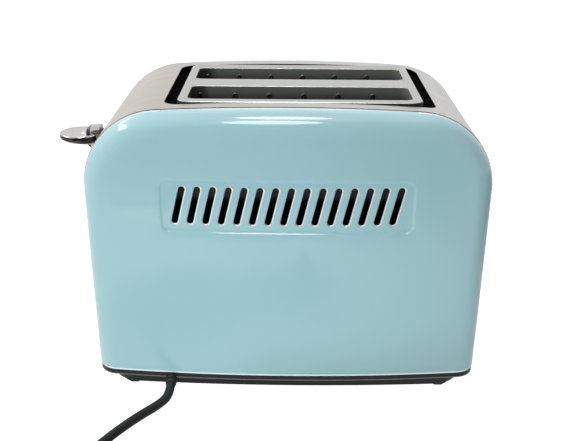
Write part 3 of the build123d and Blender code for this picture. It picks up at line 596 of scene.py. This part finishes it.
def growRing(bm, ring, points, finish):
    # extrude the ring's edges, then put each new vertex where its point says
    verts, edges = ring
    fresh, newEdges = {}, []
    for item in bmesh.ops.extrude_edge_only(bm, edges=edges)["geom"]:
        if isinstance(item, bmesh.types.BMFace):
            item.material_index = finish
        elif isinstance(item, bmesh.types.BMEdge):
            newEdges.append(item)
        else:
            fresh[placeKey(item)] = item
    newVerts = [fresh[placeKey(vert)] for vert in verts]
    for vert, point in zip(newVerts, points):
        vert.co = point
    return newVerts, newEdges


def stackRings(bm, rings, closed, edgeRings=(), capped=False):
    # edgeRings are the steps whose faces take the piece's second finish
    ring = startRing(bm, rings[0], closed)
    if capped:
        bmesh.ops.edgeloop_fill(bm, edges=ring[1])
    for step, points in enumerate(rings[1:]):
        ring = growRing(bm, ring, points, int(step in edgeRings))
    if capped:
        bmesh.ops.edgeloop_fill(bm, edges=ring[1])


def roundedLoop(halfWide, halfHigh, radius, sideSteps, topSteps, arcSteps):
    # a round-cornered rectangle: left side upwards, top, right side downwards, bottom,
    # starting half way round a corner; each corner is one or two arcs of 45 degrees and the run after it
    inX, inZ = halfWide - radius, halfHigh - radius
    sideRun, topRun = sideSteps - 2 * arcSteps, topSteps - 2 * arcSteps
    corners = [
        (-inX, -inZ, (225,), sideRun, (-halfWide, -inZ), (-halfWide, inZ)),
        (-inX, inZ, (180, 135), topRun, (-inX, halfHigh), (inX, halfHigh)),
        (inX, inZ, (90, 45), sideRun, (halfWide, inZ), (halfWide, -inZ)),
        (inX, -inZ, (0, -45), topRun, (inX, -halfHigh), (-inX, -halfHigh)),
        (-inX, -inZ, (270,), 0, None, None),
    ]
    loop = []
    for x, z, starts, run, begin, end in corners:
        for start in starts:
            angles = [math.radians(start - 45 * step / arcSteps) for step in range(arcSteps)]
            loop += [(x + radius * math.cos(angle), z + radius * math.sin(angle)) for angle in angles]
        loop += [(begin[0] + (end[0] - begin[0]) * step / run, begin[1] + (end[1] - begin[1]) * step / run)
                 for step in range(run)]
    return loop


# Painted side panels: a dished sheet with a rolled rim, a doubly bowed face and a pressed field of vents

housing = {
    "skirt": 13.5, "shoulder": 141.5, "halfLow": 127.1, "halfHigh": 128.5,
    "top": 192.0, "corner": 50.0, "crown": 1560.0,
}
panel = {
    "faceY": -85.3, "planBow": 1050.0, "riseBow": 2500.0, "riseMiddle": 62.0,
    "step": 0.3, "rim": 14.0, "rimSteps": 10, "thick": 1.2, "weld": 0.004,
    "backY": -64.9, "lipIn": 1.0, "lipY": -58.5,
    "sideSteps": 12, "cornerSteps": 24, "crownSteps": 66, "faceRings": 16,
    "fieldHalf": (79.0, 17.5), "fieldRound": 6.0, "fieldZ": 133.2,
    "fieldPress": [(0, 0), (0.3, 0.06), (0.6, 0.26), (0.95, 0.6), (1.3, 0.94), (1.65, 1.14), (2.0, 1.2)],
    "vents": 15, "ventPitch": 9.64, "ventZ": 133.8, "ventLean": 13.4, "ventHalf": (2.0, 12.45),
    "endFlat": 1e-4, "roundSteps": 3, "cellHalfHigh": 14.0, "ventZone": (78, 16),
    "hem": 1.1, "hemSteps": 4, "hemFacing": (-0.9, 0.3, 40),
    "edge": 3.0, "edgeClear": 0.02, "highlightWithin": 2.0,
    "ventLip": [(1.15, 0.0), (0.9, 0.03), (0.55, 0.12), (0.24, 0.28), (0.05, 0.5), (0.0, 0.75), (0.0, 1.2)],
    "lipRings": (3, 4, 5, 6), "lipLight": 0.6,
}
upSteps = panel["sideSteps"] + panel["cornerSteps"] // 2  # of every loop on the face, half a corner included
acrossSteps = panel["crownSteps"] + panel["cornerSteps"]


def cornerCentre():
    lean = (housing["halfHigh"] - housing["halfLow"]) / (housing["shoulder"] - housing["skirt"])
    along = Vector((lean, 1)).normalized()
    inward = Vector((-along.y, along.x))
    foot = Vector((housing["halfLow"], housing["skirt"]))
    crownMiddle = Vector((0, housing["top"] - housing["crown"]))
    start = foot + inward * housing["corner"] - crownMiddle
    reach = housing["crown"] - housing["corner"]
    dot = start.dot(along)
    run = -dot + math.sqrt(dot * dot - start.length_squared + reach * reach)
    return foot + inward * housing["corner"] + along * run, inward, crownMiddle


def archPoints(inset):
    # the housing's outline from the left skirt over the top to the right skirt, shrunk by inset
    centre, inward, crownMiddle = cornerCentre()
    sideSteps, cornerSteps, crownSteps = panel["sideSteps"], panel["cornerSteps"], panel["crownSteps"]
    radius = housing["corner"] - inset
    low = math.atan2(-inward.y, -inward.x)
    high = math.atan2(centre.y - crownMiddle.y, centre.x)
    tangent = centre - inward * radius
    footX = housing["halfLow"] - inset / abs(inward.x)
    right = [
        (footX + (tangent.x - footX) * step / sideSteps,
         housing["skirt"] + (tangent.y - housing["skirt"]) * step / sideSteps)
        for step in range(sideSteps)
    ]
    for step in range(cornerSteps):
        angle = low + (high - low) * step / cornerSteps
        right.append((centre.x + radius * math.cos(angle), centre.y + radius * math.sin(angle)))
    crownRadius = housing["crown"] - inset
    for step in range(crownSteps // 2):
        angle = high + (math.pi / 2 - high) * step / (crownSteps / 2)
        right.append((crownRadius * math.cos(angle), crownMiddle.y + crownRadius * math.sin(angle)))
    left = [(-x, z) for x, z in right]
    return left + [(0.0, crownMiddle.y + crownRadius)] + right[::-1]


def faceDepth(x, z):
    return panel["faceY"] + x * x / (2 * panel["planBow"]) + (z - panel["riseMiddle"]) ** 2 / (2 * panel["riseBow"])


def rimColumns(skin):
    # one column of points for each point of the arch: lip, side wall and rolled rim, out to the face
    radius = panel["rim"] - skin
    centres = archPoints(panel["step"] + panel["rim"])
    outers = archPoints(panel["step"] + skin)
    lips = archPoints(panel["lipIn"]) if skin == 0 else outers
    backY = panel["backY"] + skin
    columns = []
    for (midX, midZ), (outX, outZ), (lipX, lipZ) in zip(centres, outers, lips):
        out = Vector((outX - midX, outZ - midZ)).normalized()
        slope = out.x * midX / panel["planBow"] + out.y * (midZ - panel["riseMiddle"]) / panel["riseBow"]
        ballY = faceDepth(midX, midZ) + panel["rim"] * math.sqrt(1 + slope * slope)
        column = [(lipX, panel["lipY"], lipZ), (lipX, backY, lipZ), (outX, backY, outZ)]
        if skin == 0:
            column.append((outX, max(backY - panel["edge"], ballY + panel["edgeClear"]), outZ))
        last = math.pi / 2 - math.atan(slope)
        for step in range(panel["rimSteps"] + 1):
            angle = last * step / panel["rimSteps"]
            column.append((midX + out.x * radius * math.cos(angle), ballY - radius * math.sin(angle),
                           midZ + out.y * radius * math.cos(angle)))
        columns.append(column)
    return columns


def faceLoop(columns):
    # closed loop round the face: the arch, then back along the skirt
    arch = [(column[-1][0], column[-1][2]) for column in columns]
    right, left = arch[-1][0], arch[0][0]
    skirt = [(right + (left - right) * step / acrossSteps, housing["skirt"]) for step in range(1, acrossSteps)]
    return arch + skirt


def blendLoops(first, second, share):
    return [(a[0] + (b[0] - a[0]) * share, a[1] + (b[1] - a[1]) * share) for a, b in zip(first, second)]


def onFace(loop, skin, press=0.0):
    return [(x, faceDepth(x, z) + skin + press, z) for x, z in loop]


def fieldLoop(inset):
    halfWide, halfHigh = panel["fieldHalf"]
    loop = roundedLoop(halfWide - inset, halfHigh - inset, panel["fieldRound"] - inset,
                       upSteps, acrossSteps, panel["roundSteps"])
    return [(x, z + panel["fieldZ"]) for x, z in loop]


def leanAt(z):
    return (z - panel["ventZ"]) * math.tan(math.radians(panel["ventLean"]))


def cellLoop(middleX, halfWide, topSteps):
    # the leaning strip of the field that one vent, or the whole row of them, stands in
    low, high = panel["ventZ"] - panel["cellHalfHigh"], panel["ventZ"] + panel["cellHalfHigh"]
    loop = []
    for side, begin, end in ((-1, low, high), (1, high, low)):
        for step in range(upSteps):
            z = begin + (end - begin) * step / upSteps
            loop.append((middleX + side * halfWide + leanAt(z), z))
        for step in range(topSteps):
            loop.append((middleX + side * halfWide - side * 2 * halfWide * step / topSteps + leanAt(end), end))
    return loop


def ventLoop(middleX, grow, topSteps):
    halfWide, halfHigh = panel["ventHalf"]
    lean = math.radians(panel["ventLean"])
    loop = roundedLoop(halfWide + grow, halfHigh + grow, halfWide + grow - panel["endFlat"],
                       upSteps, topSteps, panel["roundSteps"])
    return [
        (middleX + u * math.cos(lean) + v * math.sin(lean), panel["ventZ"] - u * math.sin(lean) + v * math.cos(lean))
        for u, v in loop
    ]


def coonsGrid(bm, loop, skin):
    # fill the loop round the face with a grid that follows all four of its sides
    across, up = acrossSteps, upSteps
    left = loop[:up + 1]
    top = loop[up:up + across + 1]
    right = loop[up + across:2 * up + across + 1][::-1]
    bottom = (loop[2 * up + across:] + loop[:1])[::-1]
    for vert in bmesh.ops.create_grid(bm, x_segments=across, y_segments=up, size=1.0)["verts"]:
        u, v = (vert.co.x + 1) / 2, (vert.co.y + 1) / 2
        i, j = round(u * across), round(v * up)
        point = []
        for axis in (0, 1):
            sides = (1 - u) * left[j][axis] + u * right[j][axis] + (1 - v) * bottom[i][axis] + v * top[i][axis]
            ends = ((1 - u) * (1 - v) * left[0][axis] + u * (1 - v) * right[0][axis]
                    + (1 - u) * v * left[-1][axis] + u * v * right[-1][axis])
            point.append(sides - ends)
        vert.co = onFace([point], skin)[0]


def panelSkin(bm, skin, vented):
    columns = rimColumns(skin)
    stackRings(bm, list(zip(*columns)), False)
    outer = faceLoop(columns)
    if not vented:
        coonsGrid(bm, outer, skin)
        return
    border = fieldLoop(-skin)
    shares = [step / panel["faceRings"] for step in range(panel["faceRings"] + 1)]
    rings = [onFace(blendLoops(outer, border, share), skin) for share in shares]
    rings += [onFace(fieldLoop(inset - skin), skin, press) for inset, press in panel["fieldPress"][1:]]
    row = cellLoop(0.0, panel["ventPitch"] * panel["vents"] / 2, acrossSteps)
    rings.append(onFace(row, skin, panel["fieldPress"][-1][1]))
    stackRings(bm, rings, True)


def ventCells(bm):
    # each vent is one stack of rings: front of the sheet, rolled edge, cut wall and back of the sheet
    topSteps = acrossSteps // panel["vents"]
    deepest = panel["fieldPress"][-1][1]
    for number in range(panel["vents"]):
        middleX = (number - (panel["vents"] - 1) / 2) * panel["ventPitch"]
        cell = cellLoop(middleX, panel["ventPitch"] / 2, topSteps)
        halfWay = blendLoops(cell, ventLoop(middleX, panel["ventLip"][0][0], topSteps), 0.5)
        rings = [onFace(cell, 0, deepest), onFace(halfWay, 0, deepest)]
        rings += [onFace(ventLoop(middleX, grow, topSteps), depth, deepest) for grow, depth in panel["ventLip"]]
        rings += [onFace(halfWay, panel["thick"], deepest), onFace(cell, panel["thick"], deepest)]
        # the rolled lip rings take the painted highlight
        stackRings(bm, rings, True, panel["lipRings"])


def onHem(edge, side):
    # the sheet's outer bottom edge, where a face that looks down meets one that looks outwards
    down, out, endward = panel["hemFacing"]
    near = meshing["near"]
    level = all(abs(vert.co.z - housing["skirt"]) < near and vert.co.y * side > -panel["backY"] - near
                for vert in edge.verts)
    return (level and any(face.normal.z < down for face in edge.link_faces)
            and any(face.normal.y * side > out or face.normal.x * edge.verts[0].co.x > endward
                    for face in edge.link_faces))


def makePanel(name, vented, replaced):
    bm = bmesh.new()
    panelSkin(bm, 0.0, vented)
    panelSkin(bm, panel["thick"], vented)
    if vented:
        ventCells(bm)
    bmesh.ops.remove_doubles(bm, verts=bm.verts, dist=panel["weld"])
    bmesh.ops.bridge_loops(bm, edges=openAt(bm, 1, panel["lipY"]))
    bmesh.ops.edgeloop_fill(bm, edges=openEdges(bm))
    if not vented:
        bmesh.ops.scale(bm, verts=bm.verts, vec=(1, -1, 1))
    turnOutward(bm)
    side = -1 if vented else 1
    rolled = bmesh.ops.bevel(bm, geom=[edge for edge in bm.edges if onHem(edge, side)], offset=panel["hem"],
                             affect="EDGES", segments=panel["hemSteps"], profile=0.5, material=-1)
    # the rolled hem takes the painted highlight too
    for face in rolled["faces"]:
        face.material_index = 1
    zoneHalfWide, zoneHalfHigh = panel["ventZone"]
    for face in bm.faces:
        # painted highlight on a strip along the back edge; of the vent lips, those that look down or to the right go
        # back to plain paint
        middle = face.calc_center_median()
        byVents = abs(middle.z - panel["ventZ"]) < zoneHalfHigh and abs(middle.x) < zoneHalfWide
        if 0.0 < abs(middle.y) + panel["backY"] < panel["highlightWithin"]:
            face.material_index = 1
        elif face.material_index and byVents and panel["lipLight"] * face.normal.z < face.normal.x:
            face.material_index = 0
    print(name, "open edges:", len(openEdges(bm)), "faces:", len(bm.faces))
    finishPiece(bm, name, "housing", "aqua_paint", replaced).data.materials.append(finishes["painted_edge_highlight"])


makePanel("ventedPanel", True, ("vented_panel",))
makePanel("plainPanel", False, ("plain_panel",))
print("side panels made")

# Slot plate: brushed sheet with a raised rolled bead round it and a rolled edge round each slot

plate = {
    "middle": 7.2, "half": (77.2, 52.6), "round": 8.0, "top": 191.2, "wall": 1.0,
    "bead": [(0.0, 185.0), (0.0, 190.6), (0.1, 191.1), (0.4, 191.5), (0.95, 191.8), (1.7, 191.93), (2.6, 191.95),
             (3.4, 191.85), (4.1, 191.6), (4.7, 191.35), (5.2, 191.22), (5.8, 191.2), (6.2, 191.2)],
    "under": [(6.2, 190.2), (4.6, 190.3), (2.6, 190.8), (1.5, 190.3), (1.0, 189.4), (1.0, 185.0)],
    "slotHalf": (71.35, 16.45), "slotY": 26.6, "slotRound": 5.0,
    "edge": [(3.2, 191.2), (2.4, 191.2), (1.8, 191.24), (1.2, 191.3), (0.75, 191.3), (0.4, 191.2), (0.15, 191.02),
             (0.03, 190.8), (0.0, 190.5), (0.0, 181.3), (0.3, 181.0), (0.8, 181.1), (1.0, 181.5), (1.0, 190.2)],
    "steps": (44, 96, 8), "leastRound": 0.6,
}


def plateLoop(half, radius, inset, middleY, height):
    loop = roundedLoop(half[0] - inset, half[1] - inset, max(radius - inset, plate["leastRound"]), *plate["steps"])
    return [(x + plate["middle"], y + middleY, height) for x, y in loop]


def makeSlotPlate(values):
    bm = bmesh.new()
    border = [plateLoop(values["half"], values["round"], inset, 0, height)
              for inset, height in values["under"] + values["bead"]]
    stackRings(bm, border, True)
    for side in (-1, 1):
        rings = [plateLoop(values["slotHalf"], values["slotRound"], -grow, side * values["slotY"], height)
                 for grow, height in values["edge"]]
        stackRings(bm, rings, True)
    for height in (values["top"], values["top"] - values["wall"]):
        bmesh.ops.triangle_fill(bm, use_beauty=True, edges=openAt(bm, 2, height))
    print("slotPlate open edges:", len(openEdges(bm)))
    finishPiece(bm, "slotPlate", "housing", "brushed_steel", ("slot_plate",), "plate_steel")


makeSlotPlate(plate)
print("slot plate pressed")

# Wire bread guides: a hinged bottom rod, a crown rod and hairpins whose tips stand up into the slot

guides = {
    "middle": 7.2, "slotY": 26.6, "foot": 9.5, "pivot": 28.0, "tilt": 2.0, "rodHalf": 80.75, "rod": 0.9, "wire": 0.75,
    "pitch": 22.903, "shift": 2.8, "count": 7, "crown": 176.0, "overhang": (3.5, 2.0),
    "hairpin": 1.25, "hairpinSteps": 8, "tip": 186.5, "lastTip": 177.0, "round": 3,
}


def hairpinPoints(middleX, top, half, steps):
    points = [(middleX - half, 0.0)]
    for step in range(steps + 1):
        angle = math.pi - math.pi * step / steps
        points.append((middleX + half * math.cos(angle), top - half + half * math.sin(angle)))
    return points + [(middleX + half, 0.0)]


def makeGuide(values, slot, wall, nodeName):
    lean = math.radians(values["tilt"])
    middle, pivot, count = values["middle"], values["pivot"], values["count"]
    footY = slot * values["slotY"] + wall * values["foot"]
    places = [middle + values["shift"] + (step - (count - 1) / 2) * values["pitch"] for step in range(count)]
    before, after = values["overhang"]
    crown = values["crown"] - pivot
    runs = [
        ([(middle - values["rodHalf"], 0), (middle + values["rodHalf"], 0)], values["rod"]),
        ([(places[0] - before, crown), (places[-1] + after, crown)], values["rod"]),
    ]
    for x in places:
        tip = values["lastTip"] if x == places[-1] else values["tip"]
        runs.append((hairpinPoints(x, tip - pivot, values["hairpin"], values["hairpinSteps"]), values["wire"]))
    curve = newCurve(nodeName + "Wires", values["rod"], values["round"])
    for points, thickness in runs:
        spline = curve.splines.new("POLY")
        spline.points.add(len(points) - 1)
        spline.use_smooth = True
        for point, (x, rise) in zip(spline.points, points):
            place = rowPoint(x, footY + wall * rise * math.sin(lean), pivot + rise * math.cos(lean))
            point.co = (*place, 1)
            point.radius = thickness / values["rod"]
    placePiece(curve, nodeName + "Wires", nodeName, "wire", (nodeName,), "shaded_guide_wire")


for slotSide, slotWord in ((-1, "near"), (1, "far")):
    for wallSide in (-1, 1):
        side = "outer" if slotSide == wallSide else "inner"
        makeGuide(guides, slotSide, wallSide, slotWord + "_" + side + "_guide")
print("bread guides bent")

# Lever: a thick rounded paddle on a boss that grows out of the end wall

lever = {
    "centre": -144.3, "radius": 14.0, "turnSteps": 96,
    "paddle": [(0.0, 155.5), (9.0, 155.55), (12.4, 155.75), (13.1, 155.8), (13.6, 155.6), (13.9, 155.1), (14.0, 154.5),
               (14.0, 153.7), (14.0, 153.2), (13.85, 152.7), (13.5, 152.35), (12.8, 152.2), (0.0, 152.2)],
    "darkBand": (153.2, 155.0), "darkSteps": (3, 4, 5),
    "underside": 153.5, "wedge": 0.11,  # below this height it drops towards the wall, and how fast
    "boss": [
        # out from the wall, half width, height, middle
        (0.0, 6.5, 16.2, 152.7), (0.4, 6.5, 16.2, 152.7), (3.5, 6.35, 15.9, 152.7), (6.6, 6.1, 15.4, 152.7),
        (7.9, 5.8, 14.8, 152.7), (8.7, 5.5, 13.6, 152.65), (9.5, 5.2, 11.2, 152.6), (10.6, 4.9, 8.0, 152.7),
        (11.8, 4.6, 6.2, 152.9), (14.5, 4.3, 4.6, 153.1),
    ],
    "bossRound": 0.62, "bossSteps": (24, 24, 8), "wall": -129.4,
}


def makeLever(values):
    bm = bmesh.new()
    centre = values["centre"]
    turnProfile(bm, [(centre + out, 0, z) for out, z in values["paddle"]], centre, values["turnSteps"])
    low, high = values["darkBand"]
    for face in bm.faces:
        face.material_index = int(low < face.calc_center_median().z < high)
    tipX = centre - values["radius"]
    for vert in bm.verts:
        if vert.co.z < values["underside"]:
            vert.co.z -= max(0.0, (vert.co.x - tipX) * values["wedge"])
    rings = []
    for out, half, height, middle in values["boss"]:
        corner = min(half, height / 2) * values["bossRound"]
        loop = roundedLoop(half, height / 2, corner, *values["bossSteps"])
        rings.append([(values["wall"] - out, y, middle + z) for y, z in loop])
    stackRings(bm, rings, True, values["darkSteps"], capped=True)
    finishPiece(bm, "leverKnob", "carriage", "chrome", ("lever_knob",)).data.materials.append(finishes["dark_chrome"])


makeLever(lever)
print("lever shaped")

# Strain relief and plug: turned profiles set on the cord's line

turnedSteps = 64
gland = {
    "place": (-76.8, -86.2, 7.3), "turn": ("X", 18.0 - 90.0),
    "profile": [(0, 0), (3.2, 0), (3.5, 0.4), (3.7, 2.0), (3.25, 2.4), (3.25, 3.0), (3.75, 3.4), (3.85, 5.0), (3.4, 5.4),
                (3.4, 6.0), (3.95, 6.4), (4.0, 8.6), (3.6, 9.0), (3.6, 9.6), (4.0, 10.0), (4.0, 12.5), (5.2, 12.5),
                (5.4, 12.8), (5.4, 13.8), (5.2, 14.1), (4.0, 14.1), (4.0, 23.5), (3.6, 24.0), (0, 24.0)],
}
plug = {
    "place": (-24.25, -243.8, 8.45), "turn": ("Y", 90.0 - 13.3),
    "profile": [(0, 0), (4.2, 0), (4.4, 0.3)]
    + [(4.4 + 0.045 * step + (0.0 if step % 4 < 2 else -0.55), 1.0 + step * 0.86) for step in range(24)]
    + [(5.6, 21.8), (6.6, 22.6), (8.2, 23.3), (9.0, 24.4)]
    + [(9.2 + 0.06 * step + (0.0 if step % 4 < 2 else -0.5), 25.4 + step * 0.75) for step in range(12)]
    + [(10.4, 35.0), (11.6, 36.6), (14.0, 38.4), (16.6, 39.6), (17.7, 40.6), (18.0, 42.0), (18.0, 50.6),
       (17.6, 51.5), (16.8, 52.0), (15.6, 52.0), (15.3, 51.5), (9.0, 51.5), (0, 51.5)],
}


def turnedPiece(values, name, replaced):
    bm = bmesh.new()
    turnProfile(bm, [(radius, 0, along) for radius, along in values["profile"]], 0, turnedSteps)
    axis, degrees = values["turn"]
    place = Matrix.Translation(values["place"]) @ Matrix.Rotation(math.radians(degrees), 4, axis)
    bmesh.ops.transform(bm, matrix=place, verts=bm.verts)
    finishPiece(bm, name, "housing", "rubber", replaced)


turnedPiece(gland, "cordGland", ("cord_gland",))
turnedPiece(plug, "plugBody", ("plug_body",))
print("strain relief and plug turned")

# Mains cord: one smooth line from the gland to the floor, away to a neat coil, and out to the plug

cord = {
    "radius": 3.0, "round": 6, "order": 3, "smooth": 8,
    "leaves": (-76.8, -86.2, 7.3),
    "route": [
        (-76.8, -94.76, 4.52), (-82.5, -103.0, 3.0), (-92.3, -114.5, 3.0),
        (-102.5, -128.5, 3.0), (-111.8, -144.0, 3.0), (-119.27, -158.04, 3.0), (-124.34, -168.92, 3.0),
    ],
    "coilMiddle": (-101.4, -206.1), "turnOuter": 36.5, "turnInner": 30.5, "low": 3.0, "high": 9.0,
    "startAngle": 155.0, "stepAngle": 18.0, "shiftAngle": 60.0, "coilPoints": 67,
    "tail": [
        (-77.4, -242.6, 9.0), (-66.4, -242.6, 9.0), (-55.8, -243.0, 6.15), (-44.9, -243.5, 5.2),
        (-33.98, -243.8, 6.15), (-24.25, -243.8, 8.45),
    ],
    "length": 0.9,
}


def easeBetween(value, low, high):
    share = min(max((value - low) / (high - low), 0), 1)
    return share * share * (3 - 2 * share)


def coilPoints(values):
    # outer low turn, inner low turn, inner high turn, outer high part-turn
    def turnsDone(angle, turns):
        whole = values["startAngle"] + 360 * turns
        return easeBetween(angle, whole - values["shiftAngle"], whole)

    points = []
    middleX, middleY = values["coilMiddle"]
    gap = values["turnOuter"] - values["turnInner"]
    for step in range(values["coilPoints"]):
        angle = values["startAngle"] + step * values["stepAngle"]
        radius = values["turnOuter"] - gap * (turnsDone(angle, 1) - turnsDone(angle, 3))
        radius /= math.cos(math.radians(values["stepAngle"] / 2))
        height = values["low"] + (values["high"] - values["low"]) * turnsDone(angle, 2)
        points.append((middleX + radius * math.cos(math.radians(angle)),
                       middleY + radius * math.sin(math.radians(angle)), height))
    return points


def makeCord(values):
    points = [values["leaves"]] + values["route"] + coilPoints(values) + values["tail"]
    curve = newCurve("mainsCord", values["radius"], values["round"])
    spline = curve.splines.new("NURBS")
    spline.points.add(len(points) - 1)
    for point, place in zip(spline.points, points):
        point.co = (*rowPoint(*place), 1)
    spline.order_u = values["order"]
    spline.use_endpoint_u = True
    spline.resolution_u = values["smooth"]
    piece = placePiece(curve, "mainsCord", "housing", "rubber", ("mains_cord", "cord_coil", "cord_tail"))


makeCord(cord)
print("mains cord laid")

# Return spring: a round-wire helix wound at one fixed length; the real one shortens as the carriage goes down

spring = {
    "middle": (-85.35, -20.0), "radius": 4.2, "wire": 0.5, "wireSteps": 10, "low": 10.5, "high": 98.0,
    "turns": 15, "steps": 16, "travel": 65,
}


def makeSpring(values):
    bm = bmesh.new()
    bmesh.ops.create_circle(bm, segments=values["wireSteps"], radius=values["wire"], cap_ends=False)
    middle = values["middle"]
    length = values["high"] - values["low"]
    low = values["low"] + values["wire"]
    bmesh.ops.rotate(bm, verts=bm.verts, cent=(0, 0, 0), matrix=Matrix.Rotation(math.pi / 2, 3, "X"))
    bmesh.ops.translate(bm, verts=bm.verts, vec=(middle[0] + values["radius"], middle[1], low))
    total = values["turns"] * values["steps"]
    rise = (length - 2 * values["wire"]) / total
    bmesh.ops.spin(bm, geom=bm.verts[:] + bm.edges[:], cent=(*middle, 0), axis=(0, 0, 1), dvec=(0, 0, rise),
                   angle=math.tau * values["turns"], steps=total)
    bmesh.ops.holes_fill(bm, edges=openEdges(bm), sides=0)
    piece = finishPiece(bm, "returnSpring", "housing", "wire", ("return_spring",))
    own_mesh(piece)


makeSpring(spring)
print("return spring wound")
